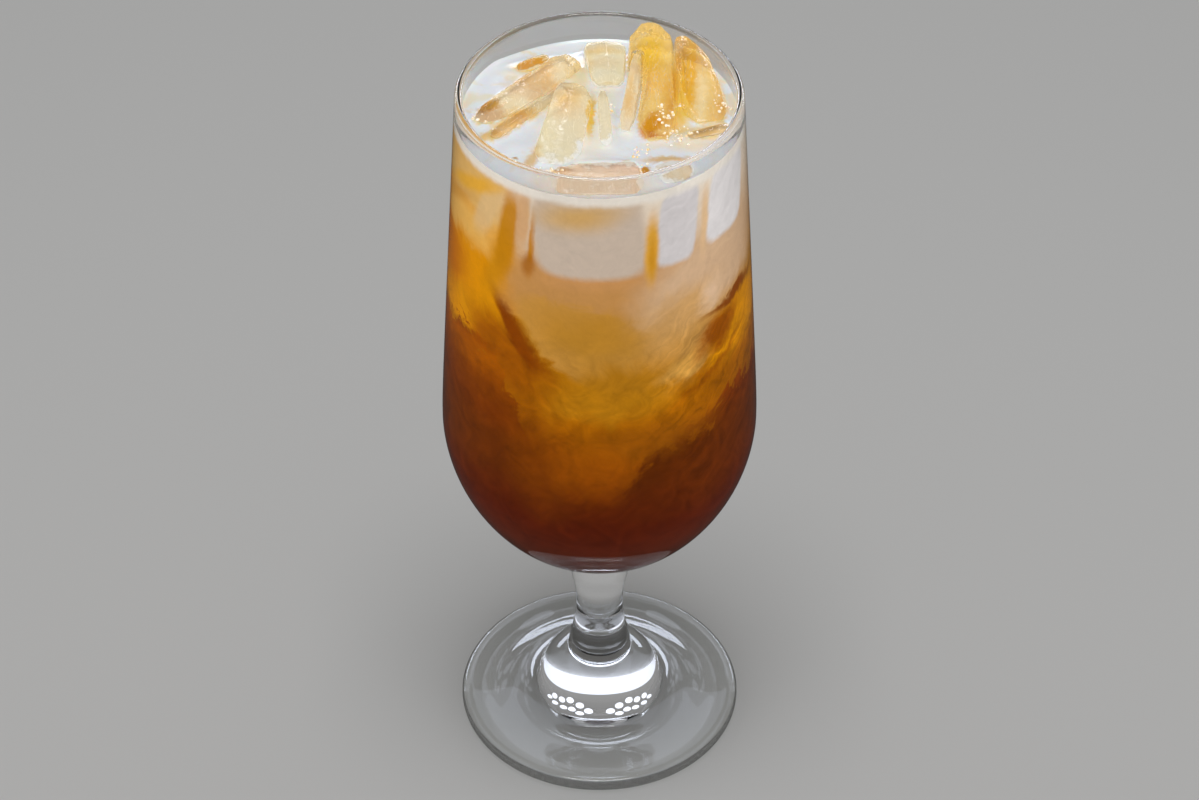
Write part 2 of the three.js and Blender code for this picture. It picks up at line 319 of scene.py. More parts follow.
def mark_edges(mesh):
    """Writes how sharply the surface turns at each corner, from 0 (flat) to 1 (an edge)."""
    around = [[] for _ in mesh.vertices]
    for edge in mesh.edges:
        a, b = edge.vertices
        apart = mesh.vertices[a].co - mesh.vertices[b].co
        turn = Vector(mesh.vertex_normals[a].vector) - Vector(mesh.vertex_normals[b].vector)
        bend = turn.dot(apart) / max(apart.length_squared, 1e-12) * MM
        around[a].append(bend)
        around[b].append(bend)
    sharp = mesh.attributes.new("edge", "FLOAT", "POINT")
    for i, bends in enumerate(around):
        bend = sum(bends) / max(1, len(bends))
        sharp.data[i].value = min(1, max(0, (bend - FLAT_BEND) / (EDGE_BEND - FLAT_BEND)))


def melted(name, seed):
    """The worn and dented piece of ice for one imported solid."""
    rough = solid_copy(name)
    rough.modifiers.new("voxels", "REMESH").voxel_size = VOXEL * MM
    wear = rough.modifiers.new("wear", "SMOOTH")
    wear.factor, wear.iterations = 0.5, WEAR_ROUNDS
    piece = evaluated(rough, name + "_melted")
    shift = Vector([seed * step for step in NOISE_STEP])
    normals = [Vector(n.vector) for n in piece.data.vertex_normals]
    for vertex, normal in zip(piece.data.vertices, normals):
        at = vertex.co / MM
        dish = 0.5 + 0.5 * noise.noise(at / DISH_SIZE + shift)
        pit = 0.5 + 0.5 * noise.noise(at / PIT_SIZE + shift)
        vertex.co -= normal * (DISH_DEPTH * dish + PIT_DEPTH * pit) * MM
    piece.data.shade_smooth()
    mark_edges(piece.data)
    return piece


ice = {name: melted(name, i) for i, name in enumerate(ICE)}
print("ice faces:", {name: len(piece.data.polygons) for name, piece in ice.items()})


# %% [markdown]
# ## The drink
# Tea, milky tea and the pale top fill the bowl as one body whose colours run into one another, so one
# solid piece stands for the three packed layers. It reaches a hair into the wall of the glass: a gap
# would show as a silver skin of air. Its top climbs the wall and the ice in a small meniscus, and the
# ice is cut out of it slightly small, so that no air shows there either.

# %% How the top climbs and dips
DRINK_LEVEL = 179.8
BITE = 0.12             # how far the drink reaches into the glass
MENISCUS = 0.8
MENISCUS_WIDTH = 0.9
ICE_CREEP = 0.45        # how high it climbs the ice, and how far out from it
ICE_CREEP_WIDTH = 0.7
SWELL = 0.22            # height and size of the soft swells of the top
SWELL_SIZE = 4.5
BACK_DIP = 1.7          # the pale top lies lower along the back wall, where it has drained
DIP_FROM = 160          # height above which the wall side follows that dip
DIP_ASIDE, DIP_HALF_TURN = 3, 46        # its middle in mm from the back, its half width in degrees
DIP_START, DIP_RUN = 15, 12             # radius at which it starts, and over which it grows
WALL_SLOPE = (BELLY_RADIUS - RIM_RADIUS) / (HEIGHT - BELLY_HEIGHT)


def drained(x, y):
    """1 along the back wall, falling to 0 at the sides and towards the middle."""
    aside = abs(math.atan2(x + DIP_ASIDE, y)) / math.radians(DIP_HALF_TURN)
    inwards = (math.hypot(x, y) - DIP_START) / DIP_RUN
    return max(0, 1 - aside ** 3) * min(1, max(0, inwards)) ** 1.5 if y > 0 else 0


print("dip at the back wall:", round(BACK_DIP * drained(0, RIM_RADIUS), 2), "mm")


# %% The body of the drink
drink_wall = wall_line(True, -BITE, 0, DRINK_LEVEL + MENISCUS, 60)
top_radius = drink_wall[-1][0]
inward = [0.15, 0.3, 0.5, 0.75, 1.05, 1.4, 1.8, 2.3, 2.9]
inward += [2.9 + 0.55 * i for i in range(1, 48)]
drink_top = [(top_radius - step, DRINK_LEVEL) for step in inward if top_radius - step > 0.6]
drink = turned("drink", drink_wall + drink_top + [(0, DRINK_LEVEL)])
print("rings in the top:", len(drink_top))


# %% Raise its top at the wall and at the ice
ice_trees = {}
for name, piece in ice.items():
    ice_trees[name] = BVHTree.FromPolygons([v.co for v in piece.data.vertices],
                                           [p.vertices for p in piece.data.polygons])
for vertex in drink.data.vertices:
    x, y, z = vertex.co / MM
    radius = math.hypot(x, y)
    if z < DIP_FROM:
        continue
    if z > DRINK_LEVEL - 0.01 and radius < top_radius - 0.01:
        climb = MENISCUS * math.exp(-(top_radius - radius) / MENISCUS_WIDTH)
        near = min(tree.find_nearest(vertex.co)[3] for tree in ice_trees.values()) / MM
        climb += ICE_CREEP * math.exp(-near / ICE_CREEP_WIDTH)
        off_the_wall = min(1, (top_radius - radius) / 3)
        climb += SWELL * noise.noise(vertex.co / MM / SWELL_SIZE) * off_the_wall
        vertex.co.z += climb * MM
    sink = BACK_DIP * drained(x, y) * min(1, (z - DIP_FROM) / (DRINK_LEVEL - DIP_FROM))
    widen = 1 + sink * WALL_SLOPE / radius if radius > 1 else 1
    vertex.co = (vertex.co.x * widen, vertex.co.y * widen, vertex.co.z - sink * MM)
print("drink faces before the ice is cut out:", len(drink.data.polygons))


# %% [markdown]
# ## What the drink looks like through the wall
# Milk has sunk into strong orange tea. A pale top hangs over tan and mustard clouds, which end in
# wisps, and the clear tea below is brown to nearly black. The pattern isn't a texture: it is worked
# out from the angle round the glass and the height, both bent a little by noise. A ramp gives the
# colours from bottom to top. A curve gives the height of the dark tea at each angle, and billows and
# fine strands move that border up and down. Soft patches add what is only in one place, such as the
# faces of ice that press against the wall.

# %% Angle and height round the glass
def stirred(tree, place, clouds, reach):
    """A place moved about by the colours of a noise, by half of reach either way."""
    offset = add(tree, "ShaderNodeVectorMath", (clouds.outputs["Color"], (0.5, 0.5, 0.5)),
                 operation="SUBTRACT")
    return add(tree, "ShaderNodeVectorMath", (offset, reach, place), operation="MULTIPLY_ADD")


def bent_angle_and_height(tree, bend_angle, bend_height, size, detail, seed):
    """Sockets for the angle from the front in degrees and the height, bent by noise and not."""
    place = place_on_piece(tree)
    moved = add(tree, "ShaderNodeVectorMath", (place, (seed, seed, seed)), operation="ADD")
    clouds = add(tree, "ShaderNodeTexNoise", {"Vector": moved, "Scale": 1 / size, "Detail": detail,
                                              "Roughness": 0.62, "Distortion": 0.8})
    axes = add(tree, "ShaderNodeSeparateXYZ", (place,)).outputs
    front = add(tree, "ShaderNodeMath", (axes["Y"], -1.0), operation="MULTIPLY")
    turn = add(tree, "ShaderNodeMath", (axes["X"], front), operation="ARCTAN2")
    degrees = add(tree, "ShaderNodeMath", (turn,), operation="DEGREES")
    unrolled = add(tree, "ShaderNodeCombineXYZ", (degrees, axes["Z"]))
    bent = stirred(tree, unrolled, clouds, (2 * bend_angle, 2 * bend_height, 0))
    bent_axes = add(tree, "ShaderNodeSeparateXYZ", (bent,)).outputs
    return bent_axes["X"], bent_axes["Y"], degrees, axes["Z"]


print("wall once round at the belly:", round(2 * math.pi * BELLY_RADIUS), "mm")


# %% Fine strands of milk
MM_PER_DEGREE = 0.62
STRAND_MIDDLE = 6       # angle at which the milk has sunk deepest
STRAND_RISE = 38        # how steeply the strands rise away from it, in degrees
STRAND_LENGTH = 16
STRAND_WIDTH = 2.5
STRAND_CURL = 11        # size in mm of the curls that bend the strands
SIDES_APART = 9         # how far apart in the noise the strands of the two sides lie
BARE_MIDDLE, FULL_ASIDE = 2, 24         # degrees from the deepest milk at which strands set in
FULL_BEHIND, BARE_BEHIND = 95, 155      # and fade out again


def feathers(tree, degrees, up):
    """Fine strands that rise outwards from the deepest milk, between -1 and 1."""
    from_deepest = add(tree, "ShaderNodeMath", (degrees, STRAND_MIDDLE), operation="SUBTRACT")
    outwards = add(tree, "ShaderNodeMath", (from_deepest,), operation="ABSOLUTE")
    along = add(tree, "ShaderNodeMath", (outwards, MM_PER_DEGREE), operation="MULTIPLY")
    flat = add(tree, "ShaderNodeCombineXYZ", (along, up))
    curls = add(tree, "ShaderNodeTexNoise", {"Vector": flat, "Scale": 1 / STRAND_CURL,
                                             "Detail": 3, "Roughness": 0.6})
    curled = stirred(tree, flat, curls, (STRAND_CURL, STRAND_CURL, 0))
    leaning = add(tree, "ShaderNodeMapping", {"Vector": curled,
                                              "Rotation": (0, 0, math.radians(-STRAND_RISE))})
    fine = add(tree, "ShaderNodeVectorMath", (leaning, (1 / STRAND_LENGTH, 1 / STRAND_WIDTH, 0)),
               operation="MULTIPLY")
    side = add(tree, "ShaderNodeMath", (from_deepest,), operation="SIGN")
    sided = add(tree, "ShaderNodeCombineXYZ", {"Z": side})
    placed = add(tree, "ShaderNodeVectorMath", (sided, (0, 0, SIDES_APART), fine),
                 operation="MULTIPLY_ADD")
    strands = add(tree, "ShaderNodeTexNoise", {"Vector": placed, "Scale": 1.0, "Detail": 9,
                                               "Roughness": 0.66, "Distortion": 0.9})
    swing = add(tree, "ShaderNodeMapRange", {"Value": strands, "From Min": 0.34, "From Max": 0.66,
                                             "To Min": -1.0, "To Max": 1.0})
    aside = add(tree, "ShaderNodeMapRange", {"Value": outwards, "From Min": BARE_MIDDLE,
                                             "From Max": FULL_ASIDE}, **SMOOTH)
    behind = add(tree, "ShaderNodeMapRange", {"Value": outwards, "From Min": BARE_BEHIND,
                                              "From Max": FULL_BEHIND}, **SMOOTH)
    shown = add(tree, "ShaderNodeMath", (aside, behind), operation="MULTIPLY")
    return add(tree, "ShaderNodeMath", (swing, shown), operation="MULTIPLY")


print("strands:", STRAND_LENGTH, "by", STRAND_WIDTH, "mm, rising at", STRAND_RISE, "degrees")


# %% A soft patch, and how it is laid over a colour
def patch_mask():
    """A node group: 1 inside a leaning, soft, rounded patch, 0 outside."""
    group = bpy.data.node_groups.new("soft rounded patch", "ShaderNodeTree")
    for label in ("Across", "Up", "Middle across", "Middle up", "Half width", "Half height",
                  "Lean", "Softness", "Squareness"):
        group.interface.new_socket(label, in_out="INPUT", socket_type="NodeSocketFloat")
    group.interface.new_socket("Mask", in_out="OUTPUT", socket_type="NodeSocketFloat")
    given = add(group, "NodeGroupInput").outputs
    up = add(group, "ShaderNodeMath", (given["Up"], given["Middle up"]), operation="SUBTRACT")
    leant = add(group, "ShaderNodeMath", (up, given["Lean"], given["Middle across"]),
                operation="MULTIPLY_ADD")
    side = add(group, "ShaderNodeMath", (given["Across"], leant), operation="SUBTRACT")
    powers = []
    for distance, half in ((side, "Half width"), (up, "Half height")):
        share = add(group, "ShaderNodeMath", (distance, given[half]), operation="DIVIDE")
        size = add(group, "ShaderNodeMath", (share,), operation="ABSOLUTE")
        powers.append(add(group, "ShaderNodeMath", (size, given["Squareness"]),
                          operation="POWER"))
    total = add(group, "ShaderNodeMath", powers, operation="ADD")
    root = add(group, "ShaderNodeMath", (1.0, given["Squareness"]), operation="DIVIDE")
    reach = add(group, "ShaderNodeMath", (total, root), operation="POWER")
    inner = add(group, "ShaderNodeMath", (1.0, given["Softness"]), operation="SUBTRACT")
    outer = add(group, "ShaderNodeMath", (1.0, given["Softness"]), operation="ADD")
    mask = add(group, "ShaderNodeMapRange", {"Value": reach, "From Min": outer,
                                             "From Max": inner}, **SMOOTH)
    add(group, "NodeGroupOutput", (mask,))
    return group


def lay(tree, colour, mask, hex_colour, strength):
    """Lays a colour over another, as strongly as a mask says."""
    amount = add(tree, "ShaderNodeMath", (mask, strength), operation="MULTIPLY")
    return add(tree, "ShaderNodeMix", {0: amount, 6: colour, 7: linear(hex_colour)},
               data_type="RGBA").outputs[2]


def lay_patches(tree, colour, patches, across, up):
    """Lays a list of patches over a colour, one over the other."""
    for name, middle, half, lean, softness, squareness, hex_colour, strength in patches:
        mask = add(tree, "ShaderNodeGroup",
                   (across, up, *middle, *half, lean, softness, squareness),
                   label=name, node_tree=soft_patch)
        colour = lay(tree, colour, mask, hex_colour, strength)
    return colour


soft_patch = patch_mask()
print("sockets of the patch:", len(soft_patch.interface.items_tree))


# %% Colours from bottom to top, and the height of the dark tea at each angle
LAYERS = (
    (58, "#4e1c0c"), (70, "#551c0a"), (80, "#561b08"), (88, "#521604"), (95, "#5e2401"),
    (99, "#783601"), (106, "#904901"), (113, "#995201"), (118, "#a55f01"), (124, "#ab6501"),
    (131, "#ac6a04"), (140, "#b17410"), (148, "#b98024"), (156, "#c18f50"), (162, "#cfae8c"),
    (182, "#e6ddd0"),
)
DARK_TEA = (
    (58, "#52200f"), (72, "#54200d"), (80, "#561d09"), (88, "#551a04"), (95, "#5a2004"),
    (102, "#5c2603"), (109, "#5f2902"), (116, "#6c2d01"), (123, "#864000"), (129, "#a45500"),
    (134, "#9a4e00"),
)
DARK_TEA_TOP = (
    (-180, 118), (-140, 122), (-110, 128), (-90, 131), (-75, 133), (-62, 134.5), (-50, 132),
    (-42, 130.5), (-36, 124), (-28, 115), (-20, 105), (-10, 97), (0, 95), (8, 100), (14, 107),
    (24, 112), (36, 112.5), (46, 113), (58, 118), (76, 119), (100, 114), (140, 112), (180, 118),
)
print("layers:", len(LAYERS), "and", len(DARK_TEA), "in the dark tea")


# %% [markdown]
# The patches are listed from the deepest layer to the nearest. Each has a name for what it is, its
# middle as (angle, height), its half size, how far it leans in degrees for each millimetre up, how
# soft its edge is, how square its corners are, its colour and its strength.

# %% What hangs in the layers
WISPY = (
    ("sunk milk round the back right", (156, 148), (62, 17), 0, 0.3, 3, "#bd8a3c", 1.0),
    ("sunk milk round the back left", (-156, 148), (56, 17), 0, 0.3, 3, "#bd8a3c", 1.0),
    ("tan light on the left", (-68, 169), (30, 12), 0, 0.25, 4, "#dbae66", 1.0),
    ("golden tea on the left", (-84, 149.5), (49, 17), 0.1, 0.16, 5, "#da8e02", 1.0),
    ("orange tea at the left edge", (-80, 149), (15, 9), -0.6, 0.7, 2, "#c06a00", 0.9),
    ("lighter gold", (-58, 141), (17, 4), 0.5, 0.7, 2, "#dc9602", 0.6),
    ("tan veil on the left", (-66, 161.5), (22, 4.5), 0.8, 0.6, 2.5, "#e3b15e", 0.9),
    ("amber behind the clouds", (-40, 134), (15, 9), -0.9, 0.5, 2.5, "#9c5301", 0.95),
    ("shadow beside the clouds", (-34, 141.5), (5.5, 9.5), -1.15, 0.5, 2.4, "#843e00", 1.0),
    ("upper cloud", (2, 155), (42, 8), 0.2, 0.25, 4, "#c08c50", 1.0),
    ("cloud on the left", (-4, 141), (22, 11.5), -1.2, 0.12, 3.5, "#c18c40", 1.0),
    ("cloud on the right", (32, 142), (25, 14), 0.9, 0.3, 3, "#bd8b46", 1.0),
    ("mustard below the clouds", (8, 128), (24, 7.5), 0.5, 0.5, 2.6, "#b2760e", 0.95),
    ("mustard in the clouds", (-2, 143), (20, 7), -0.5, 0.7, 2.2, "#b47d16", 0.6),
    ("peach cloud on the right", (50, 154), (32, 9), 0.4, 0.4, 3, "#cfae8e", 0.95),
    ("peach cloud lower down", (35, 146), (14, 6), 0.8, 0.6, 2.4, "#cb9c5e", 0.8),
    ("curl of milk", (38, 132), (12, 3.6), 2.2, 0.5, 2.2, "#cf9a48", 0.9),
    ("milk smudge", (48, 148), (5, 3.4), 0.3, 0.9, 2, "#dfc2a8", 0.6),
    ("amber on the right", (66, 134), (19, 8), 0.4, 0.25, 3, "#cf8700", 1.0),
    ("brown in the amber", (52, 136), (9, 4.4), 1.2, 0.6, 2.3, "#8a4200", 0.9),
    ("line over the amber", (62, 142.6), (13, 1.5), 4.4, 0.6, 2, "#7e3c04", 0.95),
    ("line under the amber", (49, 127), (5, 4.6), 3.3, 0.8, 2, "#8e4a00", 0.85),
    ("low amber on the right", (64, 122), (20, 6), 0.6, 0.5, 2.5, "#965600", 0.9),
)
OVER_THE_DARK = (
    ("brown line under the gold", (-58, 133.4), (18, 1.3), 0.5, 0.7, 2, "#7e3a00", 0.5),
    ("tea glowing beside the sunk milk", (-25, 109), (11, 13), -0.2, 0.8, 2, "#7a3a01", 0.85),
    ("tea glowing low on the left", (-62, 112), (20, 14), -0.4, 0.8, 2, "#6e3202", 0.6),
    ("tea glowing low on the right", (48, 98), (22, 7), 0.6, 0.9, 2, "#622a04", 0.6),
    ("wisps over the dark", (26, 114), (18, 4), 0.35, 0.9, 2, "#8a4e06", 0.7),
)
CRISP = (
    ("pale face beside the front", (-49, 171), (5.5, 8), 0.7, 0.35, 3, "#d8b684", 0.8),
    ("golden run on the left", (-60, 173.4), (8, 4.4), 3.6, 0.6, 2.2, "#e2a72e", 0.85),
    ("second run on the left", (-74, 166), (6, 4), 3, 0.8, 2, "#c98f3a", 0.6),
    ("foot of the tall streak", (-43, 157), (5, 9), 0.5, 0.7, 2.4, "#c8860a", 0.9),
    ("tall streak", (-38.6, 167), (4.2, 11), 0.22, 0.4, 3, "#c07f0c", 0.95),
    ("pale sliver", (-31.5, 172), (3, 7), 0.1, 0.4, 3, "#cfa070", 0.9),
    ("thin streak", (-27.2, 167), (1.3, 8), 0.12, 0.5, 3, "#c07d10", 0.95),
    ("brown root of the streaks", (-28.5, 160.5), (2.8, 2.8), 0.2, 0.6, 2, "#a05c00", 0.85),
    ("blush under the front ice", (-3, 159.5), (19, 2.8), 0, 0.8, 3, "#c8925c", 0.8),
    ("face of the front ice", (-4.2, 170.5), (22.2, 11), -0.12, 0.11, 5.5, "#c5b4a5", 1.0),
    ("tan under its rim", (-8, 175.4), (14, 3.4), 1.2, 0.9, 2.2, "#cda25e", 0.9),
    ("face of the right ice", (32.4, 170.2), (9, 9.6), 0.2, 0.1, 5, "#cecacd", 1.0),
    ("face of the far right ice", (60.4, 170.6), (12.8, 9.4), 0.3, 0.1, 5, "#dbd8db", 1.0),
    ("drop of tea between them", (20.8, 165.8), (2.7, 8), 0.08, 0.5, 2.2, "#d9a13c", 1.0),
    ("heart of the drop", (20.8, 163.6), (1.3, 4.5), 0.05, 0.7, 2, "#c88a1c", 0.8),
    ("tea between the right faces", (45.3, 168.2), (1.7, 7.6), 0.15, 0.7, 2.5, "#dcb88e", 0.9),
    ("face of ice at the back right", (112, 170), (17, 9.4), -0.1, 0.08, 6, "#dad3ca", 1.0),
    ("face of ice at the back", (160, 169.6), (19, 9.8), 0.1, 0.08, 6, "#d8ccba", 1.0),
    ("face of ice at the back left", (-135, 170), (20, 9), 0.1, 0.1, 5, "#d3c1a4", 1.0),
)


print("patches:", len(WISPY), len(OVER_THE_DARK), len(CRISP))


# %% Ramps, and the border of the dark tea
FULL_TURN = 360
LOWEST, HIGHEST = 56, 184       # heights between which the colours are given
BILLOW = 7              # size in mm of the soft billows in that border
BILLOW_REACH = 2.8      # how far a billow moves it
STRAND_REACH = 3.4      # how far a strand moves the border of the dark tea
BLUR_FROM = 0.31        # share of the height at which the border of the dark tea is softest
BLUR_FALL = 14          # how fast it gets crisper above that
BLUR_LOW, BLUR_HIGH = 0.13, 0.012


def share_of_height(z):
    """A height as a share of the height of the pattern."""
    return (z - LOWEST) / (HIGHEST - LOWEST)


def height_ramp(tree, share, stops_by_height):
    """A colour that depends on the height, as a share of the pattern's height."""
    ramp = add(tree, "ShaderNodeValToRGB", (share,))
    stops = ramp.color_ramp.elements
    while len(stops) < len(stops_by_height):
        stops.new(0.5)
    for stop, (z, colour) in zip(stops, stops_by_height):
        stop.position = share_of_height(z)
        stop.color = linear(colour)
    return ramp.outputs["Color"]


def dark_mask(tree, angle, share, strands, billows):
    """1 in the dark tea and 0 above its border, which billows and strands move up and down."""
    turn = add(tree, "ShaderNodeMapRange", {"Value": angle, "From Min": -FULL_TURN / 2,
                                            "From Max": FULL_TURN / 2})
    border = add(tree, "ShaderNodeFloatCurve", {"Value": turn})
    line = border.mapping.curves[0]
    while len(line.points) < len(DARK_TEA_TOP):
        line.points.new(0.5, 0.5)
    for point, (at, z) in zip(line.points, DARK_TEA_TOP):
        point.location = ((at + FULL_TURN / 2) / FULL_TURN, share_of_height(z))
    border.mapping.update()
    reach = BILLOW_REACH / (HIGHEST - LOWEST)
    billow = add(tree, "ShaderNodeMapRange", {"Value": billows, "From Min": 0.34,
                                              "From Max": 0.66, "To Min": -reach,
                                              "To Max": reach})
    swelling = add(tree, "ShaderNodeMath", (border, billow), operation="ADD")
    edge = add(tree, "ShaderNodeMath", (strands, STRAND_REACH / (HIGHEST - LOWEST), swelling),
               operation="MULTIPLY_ADD")
    above = add(tree, "ShaderNodeMath", (share, edge), operation="SUBTRACT")
    drop = add(tree, "ShaderNodeMath", (border, -BLUR_FALL, BLUR_FALL * BLUR_FROM),
               operation="MULTIPLY_ADD")
    fade = add(tree, "ShaderNodeMath", (drop,), operation="EXPONENT")
    blur = add(tree, "ShaderNodeMath", (fade, BLUR_LOW, BLUR_HIGH), operation="MULTIPLY_ADD")
    deep = add(tree, "ShaderNodeMath", (above, blur), operation="DIVIDE")
    return add(tree, "ShaderNodeMapRange", {"Value": deep, "From Min": 0.45, "From Max": -0.55},
               **SMOOTH)


print("colours from", LOWEST, "to", HIGHEST, "mm")


# %% The whole pattern
BAND_FROM = 177.4       # height at which the white band under the rim starts


def through_the_wall(tree):
    """The colour of the drink as a socket: layers, dark tea, wispy clouds and crisp faces."""
    angle, height, degrees, up = bent_angle_and_height(tree, bend_angle=7, bend_height=5.5,
                                                       size=10, detail=12, seed=3)
    near_angle, near_height, _, _ = bent_angle_and_height(tree, bend_angle=1.1, bend_height=0.7,
                                                          size=5, detail=6, seed=40)
    strands = feathers(tree, degrees, up)
    billows = add(tree, "ShaderNodeTexNoise", {"Vector": place_on_piece(tree),
                                               "Scale": 1 / BILLOW, "Detail": 7,
                                               "Roughness": 0.58, "Distortion": 1.2})
    share = add(tree, "ShaderNodeMapRange", {"Value": height, "From Min": LOWEST,
                                             "From Max": HIGHEST})
    clouds = lay_patches(tree, height_ramp(tree, share, LAYERS), WISPY, angle, height)
    dark = dark_mask(tree, angle, share, strands, billows)
    colour = add(tree, "ShaderNodeMix", {0: dark, 6: clouds,
                                         7: height_ramp(tree, share, DARK_TEA)},
                 data_type="RGBA").outputs[2]
    colour = lay_patches(tree, colour, OVER_THE_DARK, angle, height)
    colour = lay_patches(tree, colour, CRISP, near_angle, near_height)
    band = add(tree, "ShaderNodeMapRange", {"Value": near_height, "From Min": BAND_FROM,
                                            "From Max": BAND_FROM + 2}, **SMOOTH)
    return lay(tree, colour, band, "#e6e0d8", 0.9), up, strands, billows


print("white band:", round(DRINK_LEVEL - BAND_FROM, 1), "mm high")


# %% The finish of the drink behind the glass
GRAIN_SIZE = 10 / 3                     # of the fine grain of milk in the tea, in mm
CALM_FROM, CALM_TO = 126, 152           # heights over which the strands calm down
VEIL_TO, VEIL_FROM = 128, 150           # heights over which the dark veils fade out
LEFT_WEAK, RIGHT_FULL = -14, 10         # strands are weaker towards the left
LOW_WEAK, HIGH_FULL = 92, 112           # and near the bottom of the bowl


def drink_behind_glass():
    """Tea with milk in it, seen through the wall: opaque, and wet against the glass."""
    material, tree = blank_material("strong tea with sunk milk")
    colour, up, strands, billows = through_the_wall(tree)
    calm = add(tree, "ShaderNodeMapRange", {"Value": up, "From Min": CALM_FROM,
                                            "From Max": CALM_TO, "To Min": 0.25, "To Max": 0.06})
    place = place_on_piece(tree)
    grain = add(tree, "ShaderNodeTexNoise", {"Vector": place, "Scale": 1 / GRAIN_SIZE,
                                             "Detail": 9, "Roughness": 0.72,
                                             "Distortion": 1.2})
    cloudy = add(tree, "ShaderNodeMapRange", {"Value": grain, "From Min": 0.3, "From Max": 0.7,
                                              "To Min": 0.94, "To Max": 1.06})
    low = add(tree, "ShaderNodeMapRange", {"Value": up, "From Min": VEIL_FROM, "From Max": VEIL_TO})
    veil = add(tree, "ShaderNodeMapRange", {"Value": billows, "From Min": 0.3, "From Max": 0.7,
                                            "To Min": -0.22, "To Max": 0.22})
    veiled = add(tree, "ShaderNodeMath", (veil, low, cloudy), operation="MULTIPLY_ADD")
    across = add(tree, "ShaderNodeSeparateXYZ", (place,)).outputs["X"]
    sided = add(tree, "ShaderNodeMapRange", {"Value": across, "From Min": LEFT_WEAK,
                                             "From Max": RIGHT_FULL, "To Min": 0.3})
    deep = add(tree, "ShaderNodeMapRange", {"Value": up, "From Min": LOW_WEAK,
                                            "From Max": HIGH_FULL, "To Min": 0.15})
    here = add(tree, "ShaderNodeMath", (sided, deep), operation="MULTIPLY")
    swing = add(tree, "ShaderNodeMath", (here, calm), operation="MULTIPLY")
    tone = add(tree, "ShaderNodeMath", (strands, swing, veiled), operation="MULTIPLY_ADD")
    toned = add(tree, "ShaderNodeVectorMath", {0: colour, "Scale": tone}, operation="SCALE")
    body = add(tree, "ShaderNodeBsdfPrincipled", {"Base Color": toned, "Roughness": 0.5,
                                                  "Specular IOR Level": 0.0})
    add(tree, "ShaderNodeOutputMaterial", {"Surface": body})
    return material


behind_glass = drink_behind_glass()
print("nodes in the drink's pattern:", len(behind_glass.node_tree.nodes))
